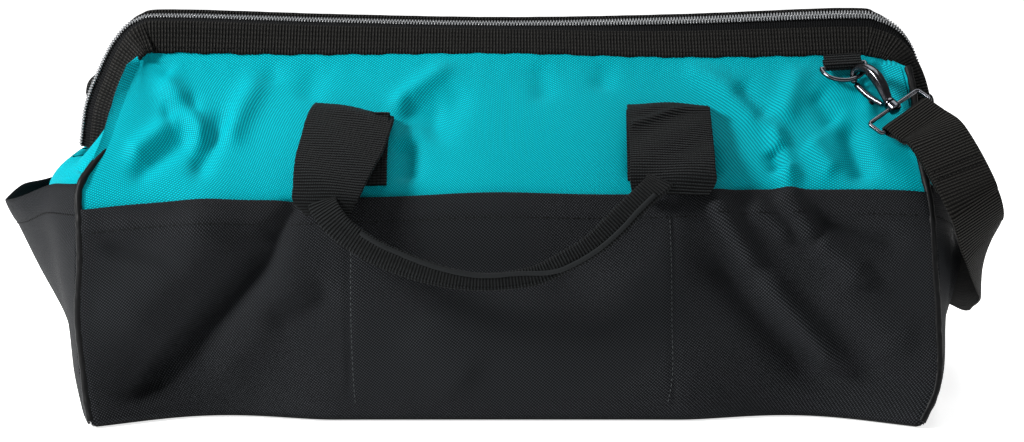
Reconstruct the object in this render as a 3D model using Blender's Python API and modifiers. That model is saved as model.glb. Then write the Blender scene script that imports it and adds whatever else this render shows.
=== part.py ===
"""A gate-mouth tool bag, closed and standing empty: teal cloth above, black pockets below.

X runs along the bag, -Y is its front and +Z is up. The origin is the middle of the base's underside.
Each cloth wall is an open surface given a thickness, each band or binding is a section carried along
a path, and each wire is a curve with a bevel.
"""

import math

import bmesh
import bpy
import numpy as np
from mathutils import Vector

# Driving sizes, in metres
BAG_LENGTH = 0.530  # across the two front pipings
BAG_DEPTH = 0.244  # front to back at the middle of the base
BAG_HEIGHT = 0.236  # base to the zip at the middle of the mouth
PANEL_WALL = 0.0016  # coated polyester with its backing
POCKET_WALL = 0.0015
BASE_THICKNESS = 0.0030  # base cloth and its board
GAP = 0.0003  # between two pieces that touch
SEAM = 0.0008  # between two that meet at an angle
CORNER_SEAM = 0.0032  # more room where three meet
POCKET_SEAM = 0.0011  # between an end pocket's sewn edges and its end
POCKET_EASE = 0.0040  # its slack at the middle

PIPING_RADIUS = 0.0024
PIPING_TOP = 0.885  # share of the height at which a corner piping ends at most
RIM_RADIUS = 0.0020  # the piping round the base

CHAIN_WIDTH = 0.0066  # zip teeth, across
CHAIN_THICKNESS = 0.0030
TAPE_SHOWN = 0.0044  # zip tape that shows between the teeth and a binding
TAPE_THICKNESS = 0.0009
BINDING_WIDTH = 0.0210
BINDING_FOLD = 0.0048  # thickness over the frame inside its top edge
BINDING_EDGE = 0.0028

HANDLE_WIDTH = 0.050
HANDLE_WALL = 0.0020
GRIP_WIDTH = 0.0170  # webbing folded lengthwise
GRIP_THICKNESS = 0.0085
HANDLE_SPREAD = 0.100  # bag's middle to the middle of a handle's leg
HANDLE_FOLD_HEIGHT = 0.181  # where a leg turns over towards the front
POCKET_HEIGHT = 0.139

STRAP_WIDTH = 0.038
STRAP_WALL = 0.0018
STRAP_TURNED_LENGTH = 0.066  # the layer that comes back and is sewn down

TAB_WIDTH = 0.0240
TAB_WALL = 0.0012
RING_WIRE = 0.0014  # radii of the wires
LOOP_WIRE = 0.0013
RING_WIDTH = 0.0318
TAB_DROP = 0.0095  # the ring's bar below the binding
TAB_STAND = 0.0062  # the bar's middle off the wall
RING_DROP = 0.0165
HOOK_LENGTH = 0.0340
HOOK_WIDTH = 0.0165
LOOP_WIDTH = 0.0462
LOOP_DROP = 0.0120
LOOP_BEND = 0.0022

HALF_LENGTH = BAG_LENGTH / 2
HALF_DEPTH = BAG_DEPTH / 2
WALL_FOOT = 2 * RIM_RADIUS + GAP + SEAM  # walls stand on the rim

# The front and back walls, a row for each height. Heights are shares of BAG_HEIGHT, the middle and
# corner are shares of half the depth, left and right are shares of half the length.
WALL = {
    "height": (0.00, 0.10, 0.27, 0.42, 0.53, 0.61, 0.66, 0.72, 0.785, 0.865, 0.93, 0.98),
    "middle": (0.985, 0.985, 0.970, 0.925, 0.865, 0.775, 0.695, 0.585, 0.455, 0.295, 0.185, 0.12),
    "corner": (1.160, 1.090, 1.010, 0.950, 0.890, 0.805, 0.720, 0.590, 0.445, 0.290, 0.185, 0.12),
    "left": (0.966, 0.985, 1.000, 1.000, 1.000, 1.002, 0.985, 0.955, 0.940, 0.923, 0.910, 0.90),
    "right": (0.958, 1.003, 1.004, 1.000, 0.992, 0.985, 0.979, 0.975, 0.973, 0.968, 0.956, 0.94),
    "pinch": (0.130, 0.105, 0.050, 0.022, 0.008, 0.000, 0.000, 0.000, 0.000, 0.000, 0.000, 0.00),
}
PINCH_PLACE = 0.72  # where along the wall its foot draws in, and how wide, as shares of the half
PINCH_SPREAD = 0.30

# How far each end stands out at its middle, as shares of half the length, by height.
END = {
    "height": (0.00, 0.10, 0.25, 0.34, 0.44, 0.52, 0.57, 0.605, 0.64),
    "left": (1.010, 1.035, 1.055, 1.075, 1.100, 1.122, 1.112, 1.090, 1.052),
    "right": (1.000, 1.030, 1.045, 1.055, 1.065, 1.072, 1.075, 1.072, 1.062),
}
# How far an end pocket stands off its end, as shares of the depth, by height and across the end.
POCKET_STAND = {
    "height": (0.00, 0.12, 0.18, 0.25, 0.34, 0.44, 0.60),
    "left": (0.000, 0.003, 0.013, 0.042, 0.072, 0.090, 0.095),
    "right": (0.000, 0.004, 0.014, 0.032, 0.044, 0.042, 0.042),
}
POCKET_REACH = 0.990  # an end pocket's width, as a share of the end's
POCKET_GAPE = {
    "across": (-1.00, -0.55, -0.25, 0.00, 0.40, 0.75, 1.00),
    "stand": (0.00, 0.05, 0.60, 1.00, 1.05, 0.66, 0.00),
    "left_top": (1.040, 0.985, 0.900, 0.860, 0.880, 0.890, 1.000),
    "right_top": (1.040, 0.900, 0.740, 0.660, 0.740, 0.880, 1.000),
}

# The closed mouth, from the foot of the left arm over the ridge to the foot of the right arm.
# x is a share of half the length, z of the height. Turns are degrees about the vertical, with 0
# square to the front or back, and dips are degrees below level.
MOUTH = {
    "x": (-1.045, -1.030, -0.996, -0.955, -0.902, -0.811, -0.415, 0.0,
          0.415, 0.819, 0.906, 0.965, 0.998, 1.016, 1.026),
    "z": (0.655, 0.767, 0.864, 0.949, 1.002, 1.013, 1.000, 0.992,
          1.000, 1.017, 1.006, 0.962, 0.886, 0.792, 0.680),
    "tape_turn": (50, 50, 46, 36, 16, 3, 0, 0, 0, -3, -10, -8, 12, 30, 35),
    "tape_dip": (4, 4, 6, 10, 14, 12, 18, 22, 50, 66, 56, 30, 10, 4, 4),
    "band_turn": (50, 50, 48, 38, 16, 3, 0, 0, 0, -3, -14, -38, -60, -74, -76),
    "band_dip": (4, 6, 14, 36, 60, 74, 52, 38, 44, 52, 48, 34, 14, 6, 4),
    "back_turn": (12, 12, 12, 12, 8, 2, 0, 0, 0, -2, -8, -20, -30, -34, -34),
    "back_dip": (4, 4, 2, -4, -14, -18, -18, -18, -18, -18, -14, -4, 2, 4, 4),
    "back_band_turn": (30, 30, 30, 26, 12, 3, 0, 0, 0, -3, -12, -26, -34, -40, -42),
    "back_band_dip": (4, 6, 14, 26, 34, 36, 36, 36, 36, 36, 34, 26, 14, 6, 4),
}
MOUTH_ROWS = len(MOUTH["x"]) - 1
CORNER_LEFT = 3.72  # rows of MOUTH at which the front wall's top corners lie
CORNER_RIGHT = 10.42
SLIT_WIDTH = 0.048  # across an end, below the foot of the mouth's arm
SLIT_HEIGHT = 0.635  # share of the height
END_STOP = 1.0  # rows short of the wall's corner at which an end's cloth stops

# A handle: x and z are shares of the spread and of the fold's height, out is the distance in front
# of the wall in shares of HANDLE_WIDTH, lean is the webbing's turn in degrees, and fold runs from 0,
# flat, to 1, folded lengthwise. The rows run from the left leg's foot to the middle of the grip.
HANDLE_LEFT = {
    "x": (1.00, 1.00, 0.99, 0.985, 1.00, 1.03, 1.08, 1.14, 1.08, 0.92, 0.68, 0.40, 0.14),
    "z": (0.792, 0.88, 0.970, 1.00, 0.970, 0.91, 0.82, 0.730, 0.670, 0.61, 0.545, 0.50, 0.483),
    "out": (0.0, 0.0, 0.0, 0.06, 0.12, 0.15, 0.20, 0.30, 0.42, 0.44, 0.42, 0.40, 0.38),
    "lean": (-4, -6, -9, -12, -8, 3, 12, 32, 58, 70, 76, 84, 88),
    "fold": (0.0, 0.0, 0.0, 0.0, 0.0, 0.0, 0.10, 0.45, 0.85, 1.0, 1.0, 1.0, 1.0),
}
HANDLE_RIGHT = {
    "x": (1.00, 1.00, 1.00, 1.00, 1.00, 0.995, 0.98, 0.95, 0.84, 0.68, 0.50, 0.32, 0.14),
    "z": (0.806, 0.88, 0.970, 1.00, 0.97, 0.92, 0.85, 0.78, 0.725, 0.66, 0.59, 0.535, 0.498),
    "out": (0.0, 0.0, 0.0, 0.06, 0.12, 0.16, 0.22, 0.30, 0.40, 0.42, 0.42, 0.40, 0.38),
    "lean": (2, 0, -3, -5, -3, 0, -6, -20, -44, -62, -70, -76, -84),
    "fold": (0.0, 0.0, 0.0, 0.0, 0.0, 0.0, 0.10, 0.40, 0.80, 1.0, 1.0, 1.0, 1.0),
}

# The strap's way from the front hook round the right end and along the back to the back hook.
# x is a share of half the length, y of half the depth, z of the height; the face columns are the
# direction in which the webbing's outer side looks.
STRAP = {
    "x": (0.935, 0.985, 1.035, 1.100, 1.152, 1.170, 1.170, 1.158, 1.110, 0.985, 0.780, 0.500,
          0.200, -0.150, -0.480, -0.720, -0.860, -0.930, -0.935),
    "y": (-0.700, -0.820, -0.900, -0.920, -0.800, -0.500, 0.020, 0.420, 0.860, 1.150, 1.230, 1.190,
          1.160, 1.160, 1.180, 1.170, 1.080, 0.920, 0.700),
    "z": (0.752, 0.700, 0.650, 0.556, 0.458, 0.370, 0.285, 0.230, 0.215, 0.210, 0.200, 0.190,
          0.185, 0.200, 0.270, 0.400, 0.550, 0.690, 0.760),
    "face_x": (0.10, 0.12, 0.16, 0.22, 0.28, 0.36, 0.60, 0.95, 0.80, 0.45, 0.10, 0.00,
               0.00, 0.00, 0.00, -0.05, -0.10, -0.12, -0.10),
    "face_y": (-0.80, -0.82, -0.85, -0.88, -0.90, -0.88, -0.70, -0.10, 0.60, 0.88, 0.99, 1.00,
               1.00, 1.00, 0.99, 0.92, 0.82, 0.76, 0.74),
    "face_z": (0.60, 0.56, 0.50, 0.44, 0.36, 0.30, 0.22, 0.10, 0.02, 0.00, 0.00, 0.00,
               0.00, 0.02, 0.10, 0.36, 0.54, 0.62, 0.66),
}

HARDWARE_ALONG = 0.809  # the front D-ring's place along the half length
RING_LIFT = 11.0  # degrees that the ring stands off the wall
RING_TURN = 12.0  # degrees that the ring is pulled round towards the bag's end
RING_HOLD = 60.0  # degrees round the ring at which the hook hangs
HOOK_AIM = 33.0  # degrees from straight down, towards the bag's end
HOOK_LIFT = 0.05  # how fast the hook comes off the wall as it goes down
HOOK_ROLL = 57.0  # degrees that the hook is rolled about its length

# The hook's arm from its barrel over the top to its nose: along is a share of HOOK_LENGTH, across
# and thick are shares of HOOK_WIDTH.
HOOK_ARM = {
    "along": (-0.26, -0.07, -0.02, 0.10, 0.32, 0.56, 0.76, 0.92, 0.985, 0.93, 0.82),
    "across": (0.0, 0.0, 0.02, 0.12, 0.30, 0.39, 0.36, 0.18, -0.08, -0.32, -0.42),
    "thick": (0.26, 0.26, 0.17, 0.17, 0.19, 0.19, 0.17, 0.155, 0.145, 0.135, 0.13),
}
LEVER = {
    "along": (0.060, 0.22, 0.42, 0.62, 0.785),
    "across": (-0.245, -0.33, -0.41, -0.43, -0.42),
    "thick": (0.105, 0.125, 0.13, 0.125, 0.12),
}
HOLD_ALONG = 0.832  # where the ring's wire passes through the hook's eye
HOLD_ACROSS = -0.065
SWIVEL_ALONG = -0.165  # the middle of the barrel

STRAP_AIM = 41.0  # degrees from straight down that the strap leaves the loop
STRAP_LIFT = 0.10
STRAP_TURN = LOOP_WIRE + GAP + STRAP_WALL / 2  # radius of the strap's middle round the bar
STRAP_EASE = 3.0  # rows of STRAP over which it eases from the loops to its own way
STRAP_STRAIGHT = 1.3  # rows over which it leaves the loops straight
SLIDER_LENGTH = 0.013
SLIDER_WIDTH = 0.0085
SLIDER_THICKNESS = 0.0022

SEAT_START = 0.62  # share of a wall above which it draws in to the binding
EDGE_CROWD = 0.35  # how much closer a wall's columns stand near its ends

LENGTH_STEPS = 14
PIPING_STEPS = 12
POCKET_STEPS = 7  # rows of a wall up to the pockets' top edge, and above it
UPPER_STEPS = 5
POCKET_SLOPE = 0.022  # share of the height by which the pocket's edge climbs to the right
MOUTH_STEPS = 30
END_LOWER_STEPS = 7
END_UPPER_STEPS = 5
END_HALF_STEPS = 5
OFFSET_LIMIT = 0.97  # a base line's points nearer than this share of its inset are left out
BULGE_POWER = 2.2
STRAP_STEPS = 42
HANDLE_STEPS = 34
TURN_STEPS = 5
LAYER_STEPS = 9
RING_STEPS = 11
BEND_STEPS = 2
HOOK_STEPS = 18
LEVER_STEPS = 6


def clear_scene():
    for thing in list(bpy.data.objects):
        bpy.data.objects.remove(thing, do_unlink=True)


def make_material(name, colour, roughness, metallic=0.0):
    """A Principled BSDF of one colour."""
    material = bpy.data.materials.new(name)
    material.use_nodes = True
    shader = material.node_tree.nodes["Principled BSDF"]
    shader.inputs["Base Color"].default_value = (*colour, 1.0)
    shader.inputs["Roughness"].default_value = roughness
    shader.inputs["Metallic"].default_value = metallic
    return material


def smooth(places, values, at):
    """A smooth line through the values of a table, read at the given places."""
    places, values, at = (np.asarray(v, float) for v in (places, values, at))
    slopes = np.gradient(values, places)
    i = np.clip(np.searchsorted(places, at) - 1, 0, len(places) - 2)
    width = places[i + 1] - places[i]
    t = np.clip((at - places[i]) / width, 0, 1)
    return (
        values[i] * (1 + 2 * t) * (1 - t) ** 2
        + slopes[i] * width * t * (1 - t) ** 2
        + values[i + 1] * t * t * (3 - 2 * t)
        - slopes[i + 1] * width * t * t * (1 - t)
    )


def rows_of(table, column, at):
    """A column of a table without heights, read by row number."""
    return smooth(np.arange(len(table[column])), table[column], at)


def unit(vectors):
    return vectors / np.linalg.norm(vectors, axis=-1, keepdims=True)


def heading(turn, dip, side):
    """The direction at a turn about the vertical and a dip, towards the front or the back."""
    turn, dip = np.radians(turn), np.radians(dip)
    return np.stack(
        (np.sin(turn) * np.cos(dip), side * np.cos(turn) * np.cos(dip), -np.sin(dip)), -1
    )


def mouth(row, side):
    """Points and directions of the closed mouth at a row, on the front (-1) or the back (1)."""
    row = np.asarray(row, float)
    names = ("tape_turn", "tape_dip", "band_turn", "band_dip")
    if side > 0:
        names = ("back_turn", "back_dip", "back_band_turn", "back_band_dip")
    tape_turn, tape_dip, band_turn, band_dip = (rows_of(MOUTH, n, row) for n in names)
    x = rows_of(MOUTH, "x", row) * HALF_LENGTH
    z = rows_of(MOUTH, "z", row) * BAG_HEIGHT
    chain = np.stack((x, 0 * x, z), -1)
    tape = heading(tape_turn, tape_dip, side)
    band = heading(band_turn, band_dip, side)
    top = chain + tape * (CHAIN_WIDTH / 2 + TAPE_SHOWN + 2 * GAP)
    return chain, tape, top, band, top + band * BINDING_WIDTH


def wall_top(along, side):
    """The binding's lower edge above a place along the wall, from -1 to 1."""
    along = np.asarray(along, float)
    row = CORNER_LEFT + (CORNER_RIGHT - CORNER_LEFT) * (along + 1) / 2
    _, _, _, band, edge = mouth(row, side)
    return edge + band * (SEAM + CORNER_SEAM * along**8)[..., None]


def pocket_share(side):
    """How far up the wall the pockets' edge lies, at the middle of the bag."""
    return (POCKET_HEIGHT - WALL_FOOT) / (wall_top(0.0, side)[2] - WALL_FOOT)


def wall_share(name, height):
    return smooth(WALL["height"], WALL[name], height)


def corner_room(end, height):
    """How far a wall's edge stays from the middle of a leaning piping, along x and along y."""
    step = 0.01
    room = []
    for name, size in (("left" if end < 0 else "right", HALF_LENGTH), ("corner", HALF_DEPTH)):
        rise = wall_share(name, height + step) - wall_share(name, height - step)
        lean = rise * size / (2 * step * BAG_HEIGHT)
        room.append((PIPING_RADIUS + SEAM) * np.sqrt(1 + lean**2))
    return room


def corner_peak(end, side):
    """The height at which a corner piping ends, clear of the binding."""
    return min(wall_top(float(end), side)[2] - PIPING_RADIUS - BINDING_EDGE, PIPING_TOP * BAG_HEIGHT)


def wall(along, share, side, out=0.0):
    """The skin of the front (side -1) or back (side 1) wall. along runs from one piping to the
    other, share from the foot to the binding, and out is the distance in front of the skin."""
    along, share = np.broadcast_arrays(np.asarray(along, float), np.asarray(share, float))

    def reach_x(a, height):
        left = wall_share("left", height) * HALF_LENGTH - corner_room(-1, height)[0]
        right = wall_share("right", height) * HALF_LENGTH - corner_room(1, height)[0]
        return np.where(a < 0, left, right)

    def skin(a, s):
        top = wall_top(a, side)
        pocket = pocket_share(side)
        slope = -side * POCKET_SLOPE * BAG_HEIGHT * a * s * (1 - s) / (pocket * (1 - pocket))
        z = WALL_FOOT + (top[..., 2] - WALL_FOOT) * s + slope
        height = z / BAG_HEIGHT
        x = a * reach_x(a, height)
        middle, corner, pinch = (wall_share(n, height) for n in ("middle", "corner", "pinch"))
        drawn = np.clip(1 - ((np.abs(a) - PINCH_PLACE) / PINCH_SPREAD) ** 2, 0, 1) ** 2
        y = side * HALF_DEPTH * (middle + (corner - middle) * np.abs(a) ** 5 - pinch * drawn)
        seat = np.clip((s - SEAT_START) / (1 - SEAT_START), 0, 1)
        seat = (seat * seat * (3 - 2 * seat))[..., None]
        place = np.stack((x, y, z), -1)
        return place + (top - skin_top(a)) * seat

    def skin_top(a):
        top = wall_top(a, side)
        height = top[..., 2] / BAG_HEIGHT
        middle, corner = wall_share("middle", height), wall_share("corner", height)
        y = side * HALF_DEPTH * (middle + (corner - middle) * np.abs(a) ** 5)
        return np.stack((a * reach_x(a, height), y, top[..., 2]), -1)

    place = skin(along, share)
    if np.any(out):
        step = 1e-3
        across = skin(np.minimum(along + step, 1), share) - skin(np.maximum(along - step, -1), share)
        up = skin(along, np.minimum(share + step, 1)) - skin(along, np.maximum(share - step, 0))
        place = place + unit(np.cross(across, up)) * -side * np.asarray(out)[..., None]
    return place


def wall_at(x, z, side, out=0.0):
    """The wall's skin at a world x and z."""
    x, z = np.broadcast_arrays(np.asarray(x, float), np.asarray(z, float))
    along, share = x / HALF_LENGTH, (z - WALL_FOOT) / BAG_HEIGHT
    for _ in range(12):
        place = wall(along, share, side)
        along = np.clip(along + (x - place[..., 0]) / HALF_LENGTH, -1, 1)
        share = np.clip(share + (z - place[..., 2]) / BAG_HEIGHT, 0, 1)
    return wall(along, share, side, out)


def corner_line(end, side, z):
    """The middle of a corner piping at a height; end is -1 for the left end and 1 for the right."""
    z = np.asarray(z, float)
    reach = wall_share("left" if end < 0 else "right", z / BAG_HEIGHT)
    corner = wall_share("corner", z / BAG_HEIGHT)
    return np.stack((end * reach * HALF_LENGTH, side * corner * HALF_DEPTH, z), -1)


def end_skin(end, across, z):
    """The skin of an end below the mouth's arm; across runs from the front piping to the back one."""
    front = corner_line(end, -1, z)
    middle = smooth(END["height"], END["left" if end < 0 else "right"], z / BAG_HEIGHT)
    reach = -front[..., 1] - corner_room(end, z / BAG_HEIGHT)[1]
    bulge = 1 - np.abs(across) ** BULGE_POWER
    x = front[..., 0] + (middle * HALF_LENGTH * end - front[..., 0]) * bulge
    return np.stack(np.broadcast_arrays(x, across * reach, z), -1)


def add_object(name, points, faces, material, facing=None):
    """A mesh object. An open surface is turned to look along facing, and a closed one outwards."""
    mesh = bpy.data.meshes.new(name)
    mesh.from_pydata([tuple(p) for p in points], [], [tuple(int(i) for i in f) for f in faces])
    mesh.update()
    if facing is not None:
        look = sum((p.normal * p.area for p in mesh.polygons), Vector())
        if look.dot(Vector(facing)) < 0:
            mesh.flip_normals()
    thing = bpy.data.objects.new(name, mesh)
    mesh.materials.append(material)
    mesh.shade_smooth()
    mesh.set_sharp_from_angle(angle=math.radians(40))
    parts_collection.objects.link(thing)
    return thing


def thicken(thing, wall_size, outwards):
    """Cuts every face in two the same way, then gives the surface its wall."""
    cut = thing.modifiers.new("cut", "TRIANGULATE")
    cut.quad_method = "FIXED"
    solid = thing.modifiers.new("wall", "SOLIDIFY")
    solid.thickness = wall_size
    solid.offset = 1.0 if outwards else -1.0


def grid_faces(rows, columns, first=0):
    """Quads of a grid of points stored row by row."""
    r, c = np.meshgrid(np.arange(rows - 1), np.arange(columns - 1), indexing="ij")
    a = (first + r * columns + c).ravel()
    return np.stack((a, a + 1, a + columns + 1, a + columns), 1)


def sheet(name, grid, material, wall_size, facing, outwards=False):
    """A cloth wall from a grid of points, rows by columns."""
    rows, columns, _ = grid.shape
    thing = add_object(name, grid.reshape(-1, 3), grid_faces(rows, columns), material, facing)
    thicken(thing, wall_size, outwards)
    return thing


def loft(name, sections, material):
    """A closed body through closed sections of one point count, with flat ends."""
    rings, count, _ = sections.shape
    turning = np.roll(np.arange(count), -1)
    faces = []
    for r in range(rings - 1):
        for a, b in zip(range(count), turning):
            faces.append((r * count + a, r * count + b, (r + 1) * count + b, (r + 1) * count + a))
    faces.append(tuple(range(count))[::-1])
    faces.append(tuple((rings - 1) * count + i for i in range(count)))
    thing = add_object(name, sections.reshape(-1, 3), faces, material)
    body = bmesh.new()
    body.from_mesh(thing.data)
    if body.calc_volume(signed=True) < 0:
        thing.data.flip_normals()
    body.free()
    return thing


def wire(name, points, radius, material, closed=False, thick=None):
    """A round wire through the points, with filled ends; thick scales the radius at each point."""
    data = bpy.data.curves.new(name, "CURVE")
    data.dimensions = "3D"
    data.bevel_depth = radius
    data.bevel_resolution = 2
    data.use_fill_caps = not closed
    spline = data.splines.new("POLY")
    spline.points.add(len(points) - 1)
    for index, point in enumerate(points):
        spline.points[index].co = (*point, 1.0)
        spline.points[index].radius = 1.0 if thick is None else thick[index]
    spline.use_cyclic_u = closed
    thing = bpy.data.objects.new(name, data)
    data.materials.append(material)
    parts_collection.objects.link(thing)
    return thing


def tangents(path):
    return unit(np.gradient(path, axis=0))


SOFT_EDGED = ((0.5, 0.2), (0.46, 0.5), (-0.46, 0.5), (-0.5, 0.2),
              (-0.5, -0.2), (-0.46, -0.5), (0.46, -0.5), (0.5, -0.2))
FLAT = ((0.5, 0.5), (-0.5, 0.5), (-0.5, -0.5), (0.5, -0.5))


def band_sections(path, across, width, thick, outline=FLAT):
    """Sections of a flat band, square to its path."""
    along = tangents(path)
    across = unit(across - along * (across * along).sum(-1, keepdims=True))
    out = np.cross(along, across)
    outline = np.array(outline)
    width, thick = (np.broadcast_to(v, len(path))[:, None] for v in (width, thick))
    return (
        path[:, None]
        + across[:, None] * (width * outline[:, 0])[..., None]
        + out[:, None] * (thick * outline[:, 1])[..., None]
    )


def shares(steps):
    return np.linspace(0, 1, steps + 1)


def wall_columns(steps=LENGTH_STEPS):
    """Places along a wall, closer together near its two ends."""
    even = 2 * shares(steps) - 1
    return even + EDGE_CROWD * (np.sin(even * math.pi / 2) - even)


def build_base():
    """The stiff base plate inside its piping, both level underneath."""
    def outline(inset, finer):
        along = wall_columns(finer * LENGTH_STEPS)
        across = 2 * shares(finer * 2 * END_HALF_STEPS) - 1
        front = wall(along, 0.0, -1)
        back = wall(along, 0.0, 1)
        left = end_skin(-1, across, np.full(len(across), WALL_FOOT))
        right = end_skin(1, across, np.full(len(across), WALL_FOOT))
        ring = np.concatenate((front, right, back[::-1], left[::-1]))
        ring[:, 2] = 0
        side = tangents(np.concatenate((ring[-1:], ring, ring[:1])))[1:-1]
        moved = ring - np.stack((side[:, 1], -side[:, 0], 0 * side[:, 2]), -1) * inset
        clear = np.linalg.norm(moved[:, None] - ring[None], axis=2).min(1)
        return moved[clear > inset * OFFSET_LIMIT]

    rim_line = outline(RIM_RADIUS, 1)
    plate_line = outline(2 * (RIM_RADIUS + SEAM), 2)
    plate = np.stack((plate_line, plate_line + (0, 0, BASE_THICKNESS)))
    loft("base_panel", plate, black_cloth)
    wire("base_rim", rim_line + (0, 0, RIM_RADIUS), RIM_RADIUS, black_trim, closed=True)


def build_walls():
    """Front and back walls with the pocket layer sewn over the lower part of each."""
    along = wall_columns()
    for side, where in ((-1, "front"), (1, "back")):
        edge = pocket_share(side)
        low, high = edge * shares(POCKET_STEPS), edge + (1 - edge) * shares(UPPER_STEPS)
        rows = np.concatenate((low, high[1:]))
        grid = wall(along[None], rows[:, None], side)
        sheet(f"{where}_panel", grid, teal_cloth, PANEL_WALL, (0, side, 0))
        pocket = wall(along[None], low[:, None], side, GAP)
        sheet(f"{where}_pocket", pocket, black_cloth, POCKET_WALL, (0, side, 0), outwards=True)


def end_columns():
    """Places across an end, with one each side of the slit and one in its middle."""
    slit = SLIT_WIDTH / BAG_DEPTH
    half = -slit - shares(END_HALF_STEPS)[::-1] * (1 - slit)
    return np.concatenate((half, (0.0,), -half[::-1]))


def build_end(end, where):
    """An end: whole below, and parted above the foot of the mouth's arm by the zip."""
    top = SLIT_HEIGHT * BAG_HEIGHT
    low = WALL_FOOT + (top - WALL_FOOT) * shares(END_LOWER_STEPS)
    lower = end_skin(end, end_columns()[None], low[:, None])
    rows, columns, _ = lower.shape
    points, faces = [lower.reshape(-1, 3)], [grid_faces(rows, columns)]
    count = rows * columns
    last = CORNER_LEFT - END_STOP if end < 0 else CORNER_RIGHT + END_STOP
    first = 0.0 if end < 0 else MOUTH_ROWS
    step = shares(END_UPPER_STEPS)
    for side in (-1, 1):
        _, _, _, band, edge = mouth(first + (last - first) * step, side)
        inner = edge + band * (SEAM + CORNER_SEAM * (1 - step[:, None]) ** 2)
        rise = (step * END_UPPER_STEPS + 1) / (END_UPPER_STEPS + 1)
        outer = corner_line(end, side, top + (corner_peak(end, side) - PIPING_RADIUS - top) * rise)
        along = tangents(outer)
        inwards = inner - outer
        inwards = unit(inwards - along * (inwards * along).sum(-1, keepdims=True))
        outer = outer + inwards * (PIPING_RADIUS + SEAM)
        share = shares(END_HALF_STEPS)[None, :, None]
        upper = outer[:, None] * (1 - share) + inner[:, None] * share
        start = (rows - 1) * columns
        joint = np.arange(END_HALF_STEPS + 1)
        joint = start + (joint if side < 0 else columns - 1 - joint)
        own = count + np.arange(upper.shape[0] * upper.shape[1]).reshape(upper.shape[:2])
        grid = np.vstack((joint[None], own))
        quads = np.stack((grid[:-1, :-1], grid[:-1, 1:], grid[1:, 1:], grid[1:, :-1]), -1)
        quads = quads.reshape(-1, 4)
        faces.append(quads if side < 0 else quads[:, ::-1])
        points.append(upper.reshape(-1, 3))
        count += own.size
    thing = add_object(
        f"{where}_end_panel", np.concatenate(points), np.concatenate(faces), teal_cloth, (end, 0, 0)
    )
    thicken(thing, PANEL_WALL, outwards=False)


def build_end_pocket(end, where):
    """An open pocket on an end, standing off it in a slack curve."""
    across = end_columns()
    rise = smooth(POCKET_GAPE["across"], POCKET_GAPE[f"{where}_top"], across) * POCKET_HEIGHT
    share = shares(POCKET_STEPS - 1)[:, None]
    z = WALL_FOOT + (rise[None] - WALL_FOOT) * share
    skin = end_skin(end, POCKET_REACH * across[None], z)
    stand = smooth(POCKET_STAND["height"], POCKET_STAND[where], z / BAG_HEIGHT) * BAG_DEPTH
    stand = stand * smooth(POCKET_GAPE["across"], POCKET_GAPE["stand"], across)[None]
    ease = POCKET_SEAM + (POCKET_EASE - POCKET_SEAM) * (1 - np.abs(across[None]) ** (2 * BULGE_POWER))
    skin[..., 0] += end * (stand + ease)
    sheet(f"{where}_end_pocket", skin, black_cloth, POCKET_WALL, (end, 0, 0), outwards=True)


def build_pipings():
    """A round piping up each corner, from the rim to the binding."""
    for side, back in ((-1, "front"), (1, "back")):
        for end, where in ((-1, "left"), (1, "right")):
            z = WALL_FOOT + (corner_peak(end, side) - WALL_FOOT) * shares(PIPING_STEPS)
            wire(f"piping_{back}_{where}", corner_line(end, side, z), PIPING_RADIUS, black_trim)


def build_mouth():
    """The zip and the two bindings that fold over the frame, along the closed mouth."""
    row = np.linspace(0, MOUTH_ROWS, MOUTH_STEPS + 1)
    chain, tape_front, _, _, _ = mouth(row, -1)
    _, tape_back, _, _, _ = mouth(row, 1)
    along = tangents(chain)
    level = tape_back - tape_front
    level = unit(level - along * (level * along).sum(-1, keepdims=True))
    loft("zip_chain", band_sections(chain, level, CHAIN_WIDTH, CHAIN_THICKNESS, SOFT_EDGED), zip_coil)
    outline = np.array(((0.0, 0.5), (0.12, 1.0), (0.36, 0.8), (1.0, 0.5),
                        (1.0, -0.5), (0.36, -0.8), (0.12, -1.0), (0.0, -0.5)))
    thick = np.array((BINDING_EDGE, BINDING_FOLD, BINDING_FOLD, BINDING_EDGE,
                      BINDING_EDGE, BINDING_FOLD, BINDING_FOLD, BINDING_EDGE)) / 2
    for side, where in ((-1, "front"), (1, "back")):
        _, tape, top, band, _ = mouth(row, side)
        start = chain + level * side * (CHAIN_WIDTH / 2 + 2 * GAP)
        room = GAP + BINDING_EDGE * (1 - (tape * band).sum(-1, keepdims=True))
        finish = top - tape * room
        middle, across = (start + finish) / 2, finish - start
        across = across - along * (across * along).sum(-1, keepdims=True)
        width = np.linalg.norm(across, axis=1)
        loft(f"zip_tape_{where}", band_sections(middle, across, width, TAPE_THICKNESS), black_trim)
        square = unit(band - along * (band * along).sum(-1, keepdims=True))
        out = np.cross(along, square)
        sections = (
            top[:, None]
            + square[:, None] * (BINDING_WIDTH * outline[:, 0])[None, :, None]
            + out[:, None] * (thick * outline[:, 1])[None, :, None]
        )
        loft(f"{where}_binding", sections, black_webbing)


def build_slider():
    """The zip's slider, shut against the foot of the right arm."""
    row = MOUTH_ROWS - 0.55 + np.array((-0.1, 0.0, 0.1))
    chain, tape, _, _, _ = mouth(row, -1)
    way, level = tangents(chain)[1], mouth(row, 1)[1][1] - tape[1]
    off = np.cross(way, level)
    off = unit(off * math.copysign(1.0, off[0]))
    middle = chain[1] + off * (CHAIN_THICKNESS / 2 + GAP + SLIDER_THICKNESS / 2)
    path = middle + way * np.linspace(-0.5, 0.5, 4)[:, None] * SLIDER_LENGTH
    width = np.array((0.75, 1.0, 1.0, 0.8)) * SLIDER_WIDTH
    loft("zip_slider", band_sections(path, np.tile(level, (4, 1)), width, SLIDER_THICKNESS), dark_metal)


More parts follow.
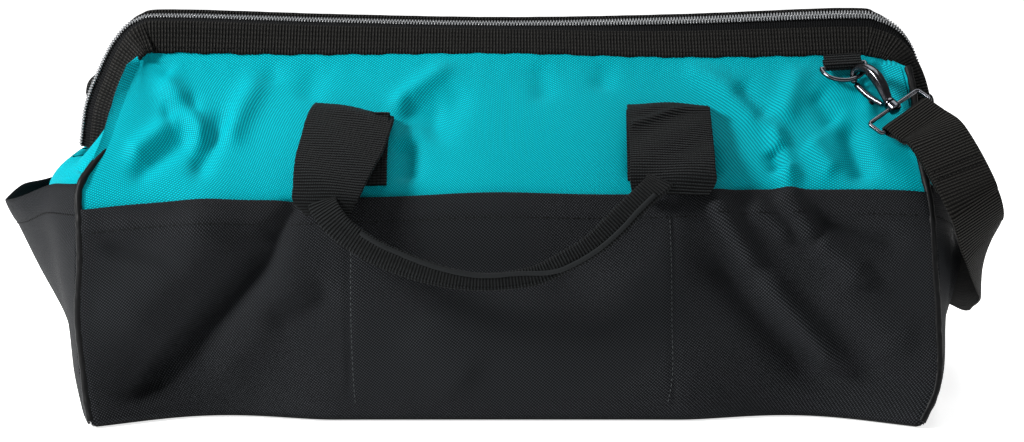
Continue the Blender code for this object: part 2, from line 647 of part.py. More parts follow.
def build_handle(side, where):
    """A webbing handle: a leg sewn to the wall at each side, turned over at its top, and a grip that
    hangs between them, folded lengthwise. The back one is the front one turned half round."""
    columns = {}
    for name in HANDLE_LEFT:
        right = np.array(HANDLE_RIGHT[name][::-1], float)
        left = np.array(HANDLE_LEFT[name], float)
        if name == "x":
            left = -left
        if name == "lean":
            right = right + 180
        columns[name] = np.concatenate((left, right))
    count = len(columns["x"])
    at = np.linspace(0, count - 1, HANDLE_STEPS + 1)
    x, z, out, lean, fold = (smooth(np.arange(count), columns[n], at) for n in HANDLE_LEFT)
    x, z = x * HANDLE_SPREAD, z * HANDLE_FOLD_HEIGHT
    out, fold = np.maximum(out, 0) * HANDLE_WIDTH, np.clip(fold, 0, 1)
    width = HANDLE_WIDTH + (GRIP_WIDTH - HANDLE_WIDTH) * fold
    thick = HANDLE_WALL + (GRIP_THICKNESS - HANDLE_WALL) * fold
    path = wall_at(-side * x, z, side, out + HANDLE_WALL / 2 + SEAM)
    off = unit(wall_at(-side * x, z, side, SEAM) - wall_at(-side * x, z, side))
    lean = np.radians(lean)
    across = np.stack((-side * np.cos(lean), 0 * lean, np.sin(lean)), -1)
    across = across - off * (across * off).sum(-1, keepdims=True)
    loft(f"handle_{where}", band_sections(path, across, width, thick, SOFT_EDGED), black_webbing)


def ring_frame(side):
    """The middle of the D-ring's bar; the directions along, down and off the wall there; and the
    directions along the bar and down the ring."""
    x = -side * HARDWARE_ALONG * HALF_LENGTH
    row = np.linspace(CORNER_LEFT, CORNER_RIGHT, 400)
    edge = mouth(row, side)[4]
    z = np.interp(x, edge[:, 0], edge[:, 2]) - TAB_DROP
    here = wall_at(x, z, side)
    along = unit(wall_at(x + 1e-3, z, side) - wall_at(x - 1e-3, z, side)) * -side
    down = unit(wall_at(x, z - HOOK_LENGTH / 2, side) - here)
    off = np.cross(along, down)
    off = off if off[1] * side > 0 else -off
    lift, turn = math.radians(RING_LIFT), math.radians(RING_TURN)
    bar = along * math.cos(turn) - down * math.sin(turn)
    drop = down * math.cos(turn) + along * math.sin(turn)
    drop = drop * math.cos(lift) + off * math.sin(lift)
    return here + off * TAB_STAND, along, down, off, bar, drop


def ring_point(side, turn):
    """A point on the ring's bow, at an angle from its end towards the bag's end."""
    middle, _, _, _, bar, drop = ring_frame(side)
    return (
        middle
        + bar * np.cos(turn) * (RING_WIDTH / 2 - RING_WIRE)
        + drop * np.sin(turn) * (RING_DROP - RING_WIRE)
    )


def build_ring(side, where):
    """A D-ring held by a short loop of webbing under the binding."""
    middle, _, _, off, bar, drop = ring_frame(side)
    bow = ring_point(side, math.pi * shares(RING_STEPS)[:, None])
    wire(f"d_ring_{where}", bow, RING_WIRE, dark_metal, closed=True)
    radius = RING_WIRE + SEAM / 2 + TAB_WALL / 2
    turn = math.pi * shares(TURN_STEPS + 1)[:, None]
    down = unit(drop - off * drop.dot(off))
    round_bar = middle - off * np.cos(turn) * radius + down * np.sin(turn) * radius
    tail = -down * RING_WIRE
    path = np.concatenate((round_bar[:1] + tail, round_bar, round_bar[-1:] + tail))
    solid = band_sections(path, np.tile(bar, (len(path), 1)), TAB_WIDTH, TAB_WALL)
    loft(f"d_ring_tab_{where}", solid, black_webbing)


def hook_frame(side):
    """The hook's origin at its barrel's shoulder, its way up, its way across and its flat's normal."""
    _, along, down, off, _, _ = ring_frame(side)
    hold = ring_point(side, math.radians(RING_HOLD))
    aim, roll = math.radians(HOOK_AIM), math.radians(HOOK_ROLL)
    up = -unit(along * math.sin(aim) + down * math.cos(aim) + off * HOOK_LIFT)
    level = along * math.cos(aim) - down * math.sin(aim)
    across = level * math.cos(roll) + off * math.sin(roll)
    flat = np.cross(up, across)
    origin = hold - up * HOLD_ALONG * HOOK_LENGTH - across * HOLD_ACROSS * HOOK_WIDTH
    return origin, up, across, flat


def hook_line(table, side, steps):
    """A line of the hook's table in space, and its radii."""
    origin, up, across, _ = hook_frame(side)
    at = np.linspace(0, len(table["along"]) - 1, steps + 1)
    along, aside, thick = (rows_of(table, n, at) for n in ("along", "across", "thick"))
    return origin + up * (along * HOOK_LENGTH)[:, None] + across * (aside * HOOK_WIDTH)[:, None], thick


def build_hook(side, where):
    """A snap hook on its ring. The front one has its sprung lever; the hidden one is plain."""
    line, thick = hook_line(HOOK_ARM, side, HOOK_STEPS)
    wire(f"snap_hook_{where}", line, HOOK_WIDTH, dark_metal, thick=thick)
    if where == "front":
        line, thick = hook_line(LEVER, side, LEVER_STEPS)
        wire("snap_lever", line, HOOK_WIDTH, dark_metal, thick=thick)


def loop_frame(side):
    """The middle of the swivel loop's bar, the directions along it and on down the strap, and the
    direction off the strap's face."""
    origin, up, _, _ = hook_frame(side)
    _, along, down, off, _, _ = ring_frame(side)
    swivel = origin + up * SWIVEL_ALONG * HOOK_LENGTH
    aim = math.radians(STRAP_AIM)
    way = unit(along * math.sin(aim) + down * math.cos(aim) + off * STRAP_LIFT)
    across = unit(np.cross(off, way))
    return swivel + way * LOOP_DROP, across, way, np.cross(way, across)


def build_loop(side, where):
    """The swivel loop: from the barrel's one side round the strap's bar to its other side."""
    bar, across, way, _ = loop_frame(side)
    half = LOOP_WIDTH / 2 - LOOP_WIRE
    turn = math.pi / 2 * shares(BEND_STEPS)
    bend = np.stack((np.sin(turn), np.cos(turn)), -1) * LOOP_BEND
    near = bend + (half - LOOP_BEND, -LOOP_BEND)
    far = bend[::-1] * (1, -1) + (half - LOOP_BEND, LOOP_BEND - LOOP_DROP)
    start = HOOK_WIDTH * HOOK_ARM["thick"][0] + GAP
    right = np.concatenate((((start, 0.0),), near, far))
    both = np.concatenate((right, right[::-1] * (-1, 1)))
    points = bar - way * LOOP_DROP + across * both[:, :1] - way * both[:, 1:]
    wire(f"swivel_loop_{where}", points, LOOP_WIRE, dark_metal)


def strap_line(at):
    """The strap's middle and its face's direction at rows of STRAP, hung between the two loops."""
    last = len(STRAP["x"]) - 1
    path = np.stack([rows_of(STRAP, n, at) for n in "xyz"], -1) * (HALF_LENGTH, HALF_DEPTH, BAG_HEIGHT)
    face = np.stack([rows_of(STRAP, "face_" + n, at) for n in "xyz"], -1)
    ends = np.stack([STRAP[n] for n in "xyz"], -1) * (HALF_LENGTH, HALF_DEPTH, BAG_HEIGHT)
    for row, step, side in ((0, 1, -1), (last, -1, 1)):
        bar, _, way, off = loop_frame(side)
        away = np.abs(at - row)[:, None]
        near = np.clip(1 - away / STRAP_EASE, 0, 1)
        near = near * near * (3 - 2 * near)
        start = bar + off * STRAP_TURN
        path = path + (start - ends[row]) * near
        face = face * (1 - near) + off * near
        straight = np.clip(2 * (1 - away / STRAP_STRAIGHT), 0, 1)
        straight = straight * straight * (3 - 2 * straight)
        pace = np.linalg.norm(ends[row + step] - ends[row])
        path = path + (start + way * pace * away - path) * straight
        face = face + (off - face) * straight
    return path, unit(face)


def build_strap():
    """The shoulder strap: turned round the front loop's bar, and along the far side to the back one."""
    last = len(STRAP["x"]) - 1
    at = np.linspace(0, last, STRAP_STEPS + 1)
    path, face = strap_line(at)
    along = tangents(path)
    across = unit(np.cross(face, along))
    out = np.cross(along, across)
    length = np.concatenate(((0.0,), np.cumsum(np.linalg.norm(np.diff(path, axis=0), axis=1))))

    def reading(lines, where):
        return np.stack([np.interp(where, length, lines[:, i]) for i in range(3)], -1)

    def turned(side):
        """The layer behind the strap at one end, from its free end to the bar, and round the bar."""
        far = STRAP_TURNED_LENGTH * shares(LAYER_STEPS)[::-1]
        where = far if side < 0 else length[-1] - far
        near = np.clip(far / (4 * STRAP_TURN), 0, 1)
        near = near * near * (3 - 2 * near)
        drop = 2 * STRAP_TURN + (STRAP_WALL + 2 * GAP - 2 * STRAP_TURN) * near
        layer = reading(path, where) - reading(out, where) * drop[:, None]
        wide = reading(across, where)
        bar, _, way, off = loop_frame(side)
        turn = math.pi * (shares(TURN_STEPS + 1)[1:-1, None] - 1 / 2)
        arc = bar + off * np.sin(turn) * STRAP_TURN - way * np.cos(turn) * STRAP_TURN
        return np.concatenate((layer, arc)), np.concatenate((wide, np.tile(wide[-1], (len(arc), 1))))

    head, head_across = turned(-1)
    tail, tail_across = turned(1)
    whole = np.concatenate((head, path, tail[::-1]))
    wide = np.concatenate((head_across, across, tail_across[::-1]))
    loft("shoulder_strap", band_sections(whole, wide, STRAP_WIDTH, STRAP_WALL), black_webbing)


clear_scene()
parts_collection = bpy.data.collections.new("tool_bag")
bpy.context.scene.collection.children.link(parts_collection)
teal_cloth = make_material("teal_cloth", (0.0, 0.46, 0.52), 0.75)
black_cloth = make_material("black_cloth", (0.017, 0.018, 0.020), 0.80)
black_webbing = make_material("black_webbing", (0.022, 0.021, 0.020), 0.70)
black_trim = make_material("black_trim", (0.012, 0.012, 0.013), 0.60)
zip_coil = make_material("zip_coil", (0.05, 0.05, 0.05), 0.40)
dark_metal = make_material("dark_metal", (0.08, 0.08, 0.085), 0.25, 1.0)

build_base()
build_walls()
for end_side, end_name in ((-1, "left"), (1, "right")):
    build_end(end_side, end_name)
    build_end_pocket(end_side, end_name)
build_pipings()
build_mouth()
build_slider()
for wall_side, wall_name in ((-1, "front"), (1, "back")):
    build_handle(wall_side, wall_name)
    build_ring(wall_side, wall_name)
    build_hook(wall_side, wall_name)
    build_loop(wall_side, wall_name)
build_strap()
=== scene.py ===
# %% [markdown]
# # A gate-mouth tool bag
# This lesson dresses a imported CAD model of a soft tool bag: teal cloth above, black pockets below,
# a zipped mouth on a hidden frame, two webbing handles and a shoulder strap on a snap hook.
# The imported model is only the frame. Each cloth wall, band and wire is worked out again here as a
# fine surface in the same place, so that folds, ribs and stitches have something to live on.

# %% The frame
import math

import bmesh
import bpy
import numpy as np
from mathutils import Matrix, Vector


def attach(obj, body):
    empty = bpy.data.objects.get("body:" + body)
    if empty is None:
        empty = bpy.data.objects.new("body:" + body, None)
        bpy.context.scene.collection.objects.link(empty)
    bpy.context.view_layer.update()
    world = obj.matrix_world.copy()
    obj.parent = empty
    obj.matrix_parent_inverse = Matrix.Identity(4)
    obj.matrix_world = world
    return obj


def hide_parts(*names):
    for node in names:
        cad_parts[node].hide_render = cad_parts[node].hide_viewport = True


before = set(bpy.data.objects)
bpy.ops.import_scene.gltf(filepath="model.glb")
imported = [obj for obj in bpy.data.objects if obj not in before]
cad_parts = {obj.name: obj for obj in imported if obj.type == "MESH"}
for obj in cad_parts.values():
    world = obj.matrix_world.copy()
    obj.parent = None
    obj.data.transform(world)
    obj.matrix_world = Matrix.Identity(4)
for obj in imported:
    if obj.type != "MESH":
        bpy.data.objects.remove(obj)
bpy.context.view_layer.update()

BODY = "bag"

# %% [markdown]
# ## Sizes
# The same named sizes as the CAD model, in metres. Shapes are shares of these sizes, read from short
# tables with a smooth line through their values, so a fold or a corner never shows a kink.

# %% Sizes and tables
HALF_LENGTH, HALF_DEPTH, BAG_HEIGHT = 0.265, 0.122, 0.236
PANEL_WALL, POCKET_WALL = 0.0016, 0.0015
GAP, SEAM = 0.0003, 0.0008
PIPING_RADIUS, RIM_RADIUS = 0.0024, 0.0020
CHAIN_WIDTH, TAPE_SHOWN, TAPE_WALL = 0.0066, 0.0044, 0.0009
BINDING_WIDTH, BINDING_FOLD = 0.0210, 0.0048
HANDLE_WIDTH, HANDLE_WALL = 0.050, 0.0019
HANDLE_SPREAD, HANDLE_FOLD_HEIGHT = 0.100, 0.181
POCKET_HEIGHT, POCKET_SLOPE = 0.139, 0.022
STRAP_WIDTH, STRAP_WALL, STRAP_TURNED = 0.038, 0.0018, 0.066
RING_WIRE, LOOP_WIRE, RING_WIDTH, RING_DROP = 0.0014, 0.0013, 0.0318, 0.0165
TAB_DROP, TAB_STAND, TAB_WIDTH, TAB_WALL = 0.0095, 0.0062, 0.024, 0.0012
HOOK_LENGTH, HOOK_WIDTH = 0.034, 0.0165
LOOP_WIDTH, LOOP_DROP, LOOP_BEND = 0.0462, 0.0120, 0.0022
WALL_FOOT = 2 * RIM_RADIUS + GAP + SEAM
SIDES, ENDS = ((-1, "front"), (1, "back")), ((-1, "left"), (1, "right"))

# Shares of the bag's height, half depth and half length.
WALL = {
    "height": (0.00, 0.10, 0.27, 0.42, 0.53, 0.61, 0.66, 0.72, 0.785, 0.865, 0.93, 0.98),
    "middle": (0.985, 0.985, 0.970, 0.925, 0.865, 0.775, 0.695, 0.585, 0.455, 0.295, 0.185, 0.12),
    "corner": (1.160, 1.090, 1.010, 0.950, 0.890, 0.805, 0.720, 0.590, 0.445, 0.290, 0.185, 0.12),
    "left": (0.966, 0.985, 1.000, 1.000, 1.000, 1.002, 0.985, 0.955, 0.940, 0.923, 0.910, 0.90),
    "right": (0.958, 1.003, 1.004, 1.000, 0.992, 0.985, 0.979, 0.975, 0.973, 0.968, 0.956, 0.94),
    "pinch": (0.130, 0.105, 0.050, 0.022, 0.008, 0.000, 0.000, 0.000, 0.000, 0.000, 0.000, 0.00),
}
END = {
    "height": (0.00, 0.10, 0.25, 0.34, 0.44, 0.52, 0.57, 0.605, 0.64),
    "left": (1.010, 1.035, 1.055, 1.075, 1.100, 1.122, 1.112, 1.090, 1.052),
    "right": (1.000, 1.030, 1.045, 1.055, 1.065, 1.072, 1.075, 1.072, 1.062),
}
POCKET_STAND = {
    "height": (0.00, 0.12, 0.18, 0.25, 0.34, 0.44, 0.60),
    "left": (0.000, 0.003, 0.013, 0.042, 0.072, 0.090, 0.095),
    "right": (0.000, 0.004, 0.014, 0.032, 0.044, 0.042, 0.042),
}
POCKET_GAPE = {
    "across": (-1.00, -0.55, -0.25, 0.00, 0.40, 0.75, 1.00),
    "stand": (0.00, 0.05, 0.60, 1.00, 1.05, 0.66, 0.00),
    "left_top": (1.040, 0.985, 0.900, 0.860, 0.880, 0.890, 1.000),
    "right_top": (1.040, 0.900, 0.740, 0.660, 0.740, 0.880, 1.000),
}
# Shares of half length and height, and angles in degrees, row by row over the mouth.
MOUTH = {
    "x": (-1.045, -1.030, -0.996, -0.955, -0.902, -0.811, -0.415, 0.0,
          0.415, 0.819, 0.906, 0.965, 0.998, 1.016, 1.026),
    "z": (0.655, 0.767, 0.864, 0.949, 1.002, 1.013, 1.000, 0.992,
          1.000, 1.017, 1.006, 0.962, 0.886, 0.792, 0.680),
    "tape_turn": (50, 50, 46, 36, 16, 3, 0, 0, 0, -3, -10, -8, 12, 30, 35),
    "tape_dip": (4, 4, 6, 10, 14, 12, 18, 22, 50, 66, 56, 30, 10, 4, 4),
    "band_turn": (50, 50, 48, 38, 16, 3, 0, 0, 0, -3, -14, -38, -60, -74, -76),
    "band_dip": (4, 6, 14, 36, 60, 74, 52, 38, 44, 52, 48, 34, 14, 6, 4),
    "back_turn": (12, 12, 12, 12, 8, 2, 0, 0, 0, -2, -8, -20, -30, -34, -34),
    "back_dip": (4, 4, 2, -4, -14, -18, -18, -18, -18, -18, -14, -4, 2, 4, 4),
    "back_band_turn": (30, 30, 30, 26, 12, 3, 0, 0, 0, -3, -12, -26, -34, -40, -42),
    "back_band_dip": (4, 6, 14, 26, 34, 36, 36, 36, 36, 36, 34, 26, 14, 6, 4),
}
MOUTH_ROWS = len(MOUTH["x"]) - 1
CORNER_LEFT, CORNER_RIGHT = 3.72, 10.42
SLIT_WIDTH, SLIT_HEIGHT = 0.048, 0.635
END_STOP = 0.55  # the ends' flaps stop this many mouth rows before the corner
# Shares of the handle's sizes, lean in degrees, fold from flat to folded, grip width in mm.
HANDLE_LEFT = {
    "x": (1.00, 1.00, 0.99, 0.985, 1.00, 1.03, 1.08, 1.14, 1.08, 0.92, 0.68, 0.40, 0.14),
    "z": (0.792, 0.88, 0.970, 1.00, 0.970, 0.91, 0.82, 0.730, 0.670, 0.61, 0.545, 0.50, 0.483),
    "out": (0.0, 0.0, 0.0, 0.06, 0.12, 0.15, 0.20, 0.30, 0.42, 0.44, 0.42, 0.40, 0.38),
    "lean": (-4, -6, -9, -12, -8, 3, 12, 32, 58, 70, 76, 84, 88),
    "fold": (0.0, 0.0, 0.0, 0.0, 0.0, 0.0, 0.15, 0.35, 0.6, 0.8, 0.9, 1.0, 1.0),
    "grip": (50, 50, 50, 50, 50, 44, 30, 20, 17, 15.5, 15, 13, 11),
}
HANDLE_RIGHT = {
    "x": (1.00, 1.00, 1.00, 1.00, 1.00, 0.995, 0.98, 0.95, 0.84, 0.68, 0.50, 0.32, 0.14),
    "z": (0.806, 0.88, 0.970, 1.00, 0.97, 0.92, 0.85, 0.78, 0.725, 0.66, 0.59, 0.535, 0.498),
    "out": (0.0, 0.0, 0.0, 0.06, 0.12, 0.16, 0.22, 0.30, 0.40, 0.42, 0.42, 0.40, 0.38),
    "lean": (2, 0, -3, -5, -3, 0, -6, -20, -44, -62, -70, -76, -84),
    "fold": (0.0, 0.0, 0.0, 0.0, 0.0, 0.0, 0.15, 0.35, 0.6, 0.8, 0.9, 1.0, 1.0),
    "grip": (50, 50, 50, 50, 50, 44, 28, 18, 15, 16, 14, 13, 12),
}
# A flap's edges by height and how far it hangs in front of the wall, in metres.
FLAP_LEFT = {
    "height": (0.1235, 0.129, 0.138, 0.150, 0.163, 0.176, 0.185, 0.1885),
    "outer": (-0.124, -0.1312, -0.1322, -0.1315, -0.129, -0.1258, -0.1228, -0.1215),
    "inner": (-0.097, -0.0930, -0.0885, -0.0820, -0.0765, -0.0725, -0.0710, -0.0715),
    "out": (0.0155, 0.0190, 0.0195, 0.0165, 0.0130, 0.0095, 0.0065, 0.0030),
}
FLAP_RIGHT = {
    "height": (0.1345, 0.139, 0.146, 0.155, 0.165, 0.175, 0.183, 0.1865),
    "outer": (0.1245, 0.1290, 0.1290, 0.1288, 0.1285, 0.1280, 0.1275, 0.1270),
    "inner": (0.0775, 0.0760, 0.0760, 0.0760, 0.0760, 0.0757, 0.0757, 0.0757),
    "out": (0.0135, 0.0180, 0.0190, 0.0165, 0.0130, 0.0095, 0.0065, 0.0030),
}
# Shares of half length, half depth and height, and the way the strap's face looks.
STRAP = {
    "x": (0.935, 0.990, 1.050, 1.092, 1.122, 1.138, 1.150, 1.150, 1.110, 0.985, 0.780, 0.500,
          0.200, -0.150, -0.480, -0.720, -0.860, -0.930, -0.935),
    "y": (-0.700, -0.820, -0.900, -0.920, -0.800, -0.500, 0.020, 0.420, 0.860, 1.150, 1.230, 1.190,
          1.160, 1.160, 1.180, 1.170, 1.080, 0.920, 0.700),
    "z": (0.752, 0.733, 0.655, 0.572, 0.462, 0.370, 0.285, 0.230, 0.215, 0.210, 0.200, 0.190,
          0.185, 0.200, 0.270, 0.400, 0.550, 0.690, 0.760),
    "face_x": (0.10, 0.12, 0.16, 0.22, 0.28, 0.36, 0.60, 0.95, 0.80, 0.45, 0.10, 0.00,
               0.00, 0.00, 0.00, -0.05, -0.10, -0.12, -0.10),
    "face_y": (-0.80, -0.82, -0.85, -0.88, -0.90, -0.88, -0.70, -0.10, 0.60, 0.88, 0.99, 1.00,
               1.00, 1.00, 0.99, 0.92, 0.82, 0.76, 0.74),
    "face_z": (0.60, 0.56, 0.50, 0.44, 0.36, 0.30, 0.22, 0.10, 0.02, 0.00, 0.00, 0.00,
               0.00, 0.02, 0.10, 0.36, 0.54, 0.62, 0.66),
}
# Shares of the hook's length and width.
HOOK_ARM = {
    "along": (-0.07, -0.02, 0.10, 0.32, 0.56, 0.76, 0.92, 0.985, 0.93, 0.82),
    "across": (0.0, 0.02, 0.12, 0.30, 0.39, 0.36, 0.18, -0.08, -0.32, -0.42),
    "thick": (0.20, 0.18, 0.20, 0.245, 0.25, 0.215, 0.175, 0.150, 0.135, 0.13),
}
LEVER = {
    "along": (0.060, 0.22, 0.42, 0.62, 0.785),
    "across": (-0.245, -0.33, -0.41, -0.43, -0.42),
    "thick": (0.105, 0.125, 0.13, 0.125, 0.12),
}
print("tables read, mouth rows:", MOUTH_ROWS)

# %% [markdown]
# ## Reading a table smoothly
# A cubic through each pair of values, with the slope of its neighbours, is smooth without the
# overshoot that a single high polynomial would give.

# %% Smooth reading and directions
def smooth(places, values, at):
    """value = Hermite cubic between neighbours, with slopes from np.gradient."""
    places, values, at = (np.asarray(v, float) for v in (places, values, at))
    slopes = np.gradient(values, places)
    i = np.clip(np.searchsorted(places, at) - 1, 0, len(places) - 2)
    width = places[i + 1] - places[i]
    t = np.clip((at - places[i]) / width, 0, 1)
    return (
        values[i] * (1 + 2 * t) * (1 - t) ** 2
        + slopes[i] * width * t * (1 - t) ** 2
        + values[i + 1] * t * t * (3 - 2 * t)
        - slopes[i + 1] * width * t * t * (1 - t)
    )


def rows_of(table, column, at):
    return smooth(np.arange(len(table[column])), table[column], at)


def step(t):
    """0 below 0, 1 above 1, and 3t^2 - 2t^3 between."""
    t = np.clip(t, 0, 1)
    return t * t * (3 - 2 * t)


def unit(v):
    return v / np.linalg.norm(v, axis=-1, keepdims=True)


def tangents(path, ring=False):
    if ring:
        return unit(np.roll(path, -1, axis=0) - np.roll(path, 1, axis=0))
    return unit(np.gradient(path, axis=0))
def square_to(v, along):
    """The part of v square to along, made 1 long: v - along (v . along)."""
    return unit(v - along * (v * along).sum(-1, keepdims=True))


def towards(v, aim):
    """v or -v, whichever goes the way of aim."""
    return v * np.sign((v * aim).sum(-1, keepdims=True))


def walked(path):
    """The distance from the start to each point of a path, or to each row of a grid on average."""
    steps = np.linalg.norm(np.diff(path, axis=0), axis=-1)
    return np.concatenate(((0.0,), np.cumsum(steps if steps.ndim == 1 else steps.mean(1))))


def heading(turn, dip, side):
    """(sin turn cos dip, side cos turn cos dip, -sin dip)."""
    turn, dip = np.radians(turn), np.radians(dip)
    return np.stack(
        (np.sin(turn) * np.cos(dip), side * np.cos(turn) * np.cos(dip), -np.sin(dip)), -1
    )


print("half way up the walls, share of depth:", float(smooth(WALL["height"], WALL["middle"], 0.5).round(3)))

# %% [markdown]
# ## The skeleton of the bag
# The closed mouth is a line over the top with a tape and a binding hanging off it on each side. The
# walls hang from the bindings and are sewn to a piping at each corner, so the wall is a blend of a
# flat profile, a fuller corner and the line of the binding above it.

# %% The mouth and the walls as formulas
def mouth(row, side):
    """Chain, tape direction, top of the binding, band direction and lower edge at a row."""
    row = np.asarray(row, float)
    names = ("tape_turn", "tape_dip", "band_turn", "band_dip")
    if side > 0:
        names = ("back_turn", "back_dip", "back_band_turn", "back_band_dip")
    tape_turn, tape_dip, band_turn, band_dip = (rows_of(MOUTH, n, row) for n in names)
    x = rows_of(MOUTH, "x", row) * HALF_LENGTH
    z = rows_of(MOUTH, "z", row) * BAG_HEIGHT
    chain = np.stack((x, 0 * x, z), -1)
    tape = heading(tape_turn, tape_dip, side)
    band = heading(band_turn, band_dip, side)
    top = chain + tape * (CHAIN_WIDTH / 2 + TAPE_SHOWN + 2 * GAP)
    return chain, tape, top, band, top + band * BINDING_WIDTH


def mouth_row(along):
    return CORNER_LEFT + (CORNER_RIGHT - CORNER_LEFT) * (along + 1) / 2


def wall_top(along, side):
    """The upper edge of a wall, just under the binding's edge."""
    along = np.asarray(along, float)
    _, _, _, band, edge = mouth(mouth_row(along), side)
    return edge + band * (SEAM + 0.0032 * along**8)[..., None]


def wall_share(name, height):
    return smooth(WALL["height"], WALL[name], height)


def pocket_share(side):
    return (POCKET_HEIGHT - WALL_FOOT) / (wall_top(0.0, side)[2] - WALL_FOOT)


def corner_room(end, height):
    """The piping's radius over the cosine of its lean, along x and along y."""
    room = []
    for name, size in (("left" if end < 0 else "right", HALF_LENGTH), ("corner", HALF_DEPTH)):
        rise = wall_share(name, height + 0.01) - wall_share(name, height - 0.01)
        lean = rise * size / (0.02 * BAG_HEIGHT)
        room.append((PIPING_RADIUS + SEAM) * np.sqrt(1 + lean**2))
    return room


def skin(a, s, side):
    """x = a reach(z), y = side (middle + (corner - middle) |a|^5 - pinch), z rises with s, and the
    upper part slides over until its last row is the binding's edge."""
    def profile(a, height):
        middle, corner = wall_share("middle", height), wall_share("corner", height)
        left = wall_share("left", height) * HALF_LENGTH - corner_room(-1, height)[0]
        right = wall_share("right", height) * HALF_LENGTH - corner_room(1, height)[0]
        y = side * HALF_DEPTH * (middle + (corner - middle) * np.abs(a) ** 5)
        return a * np.where(a < 0, left, right), y

    top = wall_top(a, side)
    edge = pocket_share(side)
    slope = -side * POCKET_SLOPE * BAG_HEIGHT * a * s * (1 - s) / (edge * (1 - edge))
    z = WALL_FOOT + (top[..., 2] - WALL_FOOT) * s + slope
    x, y = profile(a, z / BAG_HEIGHT)
    drawn = np.clip(1 - ((np.abs(a) - 0.72) / 0.30) ** 2, 0, 1) ** 2
    y = y - side * HALF_DEPTH * wall_share("pinch", z / BAG_HEIGHT) * drawn
    top_x, top_y = profile(a, top[..., 2] / BAG_HEIGHT)
    seat = step((s - 0.62) / 0.38)
    return np.stack((x + (top[..., 0] - top_x) * seat, y + (top[..., 1] - top_y) * seat, z), -1)


def wall(along, share, side, out=0.0):
    """The skin moved along its normal by out; the normal is the cross of the two slopes."""
    along, share = np.broadcast_arrays(np.asarray(along, float), np.asarray(share, float))
    place = skin(along, share, side)
    if np.any(out):
        d = 1e-3
        across = skin(np.minimum(along + d, 1), share, side) - skin(np.maximum(along - d, -1), share, side)
        up = skin(along, np.minimum(share + d, 1), side) - skin(along, np.maximum(share - d, 0), side)
        place = place + unit(np.cross(across, up)) * -side * np.asarray(out)[..., None]
    return place


def wall_at(x, z, side, out=0.0):
    """Newton's way: move along and share by the miss until x and z are met."""
    x, z = np.broadcast_arrays(np.asarray(x, float), np.asarray(z, float))
    along, share = x / HALF_LENGTH, (z - WALL_FOOT) / BAG_HEIGHT
    for _ in range(12):
        place = wall(along, share, side)
        along = np.clip(along + (x - place[..., 0]) / HALF_LENGTH, -1, 1)
        share = np.clip(share + (z - place[..., 2]) / BAG_HEIGHT, 0, 1)
    return wall(along, share, side, out)


def corner_line(end, side, z):
    z = np.asarray(z, float)
    reach = wall_share("left" if end < 0 else "right", z / BAG_HEIGHT)
    corner = wall_share("corner", z / BAG_HEIGHT)
    return np.stack((end * reach * HALF_LENGTH, side * corner * HALF_DEPTH, z), -1)


def end_skin(end, across, z):
    """Between the two corners, bulging by 1 - |across|^2.2 to the end's middle line."""
    front = corner_line(end, -1, z)
    middle = smooth(END["height"], END["left" if end < 0 else "right"], z / BAG_HEIGHT)
    reach = -front[..., 1] - corner_room(end, z / BAG_HEIGHT)[1]
    x = front[..., 0] + (middle * HALF_LENGTH * end - front[..., 0]) * (1 - np.abs(across) ** 2.2)
    return np.stack(np.broadcast_arrays(x, across * reach, z), -1)


print("wall height at the middle, mm:", round(1000 * float(wall_top(0.0, -1)[2]), 1))

# %% [markdown]
# ## Turning arrays into meshes
# A grid of points becomes quads, and the distance walked along its rows and columns becomes its UV
# map in metres, so a weave has the same thread size on every piece however it is bent.


def piece(name, points, faces, uvs, material, slot, body=BODY, sharp=45, replaces=()):
    mesh = bpy.data.meshes.new(name)
    mesh.from_pydata(points.tolist(), [], faces)
    layer = mesh.uv_layers.new(name="UVMap")
    layer.data.foreach_set("uv", np.asarray(uvs, np.float32).ravel())
    mesh.materials.append(material)
    mesh.shade_smooth()
    mesh.set_sharp_from_angle(angle=math.radians(sharp))
    thing = bpy.data.objects.new(name, mesh)
    bpy.context.scene.collection.objects.link(thing)
    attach(thing, body)
    if replaces:
        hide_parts(*replaces)
    return thing


def grid_parts(grid, wrap_rows=False, wrap_columns=False, caps=False):
    """Quads, UVs and cap polygons of a grid, rows by columns. UVs are mean distances in metres."""
    rows, columns, _ = grid.shape
    v = walked(np.concatenate((grid, grid[:1])) if wrap_rows else grid)
    u = walked((np.concatenate((grid, grid[:, :1]), 1) if wrap_columns else grid).swapaxes(0, 1))
    r, c = np.meshgrid(np.arange(len(v) - 1), np.arange(len(u) - 1), indexing="ij")
    r, c = r.ravel(), c.ravel()
    r2, c2 = (r + 1) % rows, (c + 1) % columns
    quads = np.stack((r * columns + c, r * columns + c2, r2 * columns + c2, r2 * columns + c), 1)
    uv = np.stack((np.stack((u[c], v[r]), 1), np.stack((u[c + 1], v[r]), 1),
                   np.stack((u[c + 1], v[r + 1]), 1), np.stack((u[c], v[r + 1]), 1)), 1)
    ends = []
    if caps:
        ends = [list(range(columns))[::-1], [(rows - 1) * columns + i for i in range(columns)]]
    return quads, uv, ends


def strip(name, grid, material, slot, closed=True, ring=False, **more):
    """A closed body: sections of equal point count along a path, with flat ends unless a ring."""
    quads, uv, ends = grid_parts(grid, wrap_rows=ring, wrap_columns=closed, caps=closed and not ring)
    points = grid.reshape(-1, 3)
    a, b, c, d = (points[quads[:, k]] for k in range(4))
    volume = (np.cross(a, b) * c).sum() + (np.cross(a, c) * d).sum()
    faces = quads.tolist()
    if volume < 0:
        faces, uv, ends = quads[:, ::-1].tolist(), uv[:, ::-1], [e[::-1] for e in ends]
    cap_uv = np.zeros((sum(len(e) for e in ends), 2))
    uvs = np.concatenate((uv.reshape(-1, 2), cap_uv))
    return piece(name, points, faces + ends, uvs, material, slot, **more)


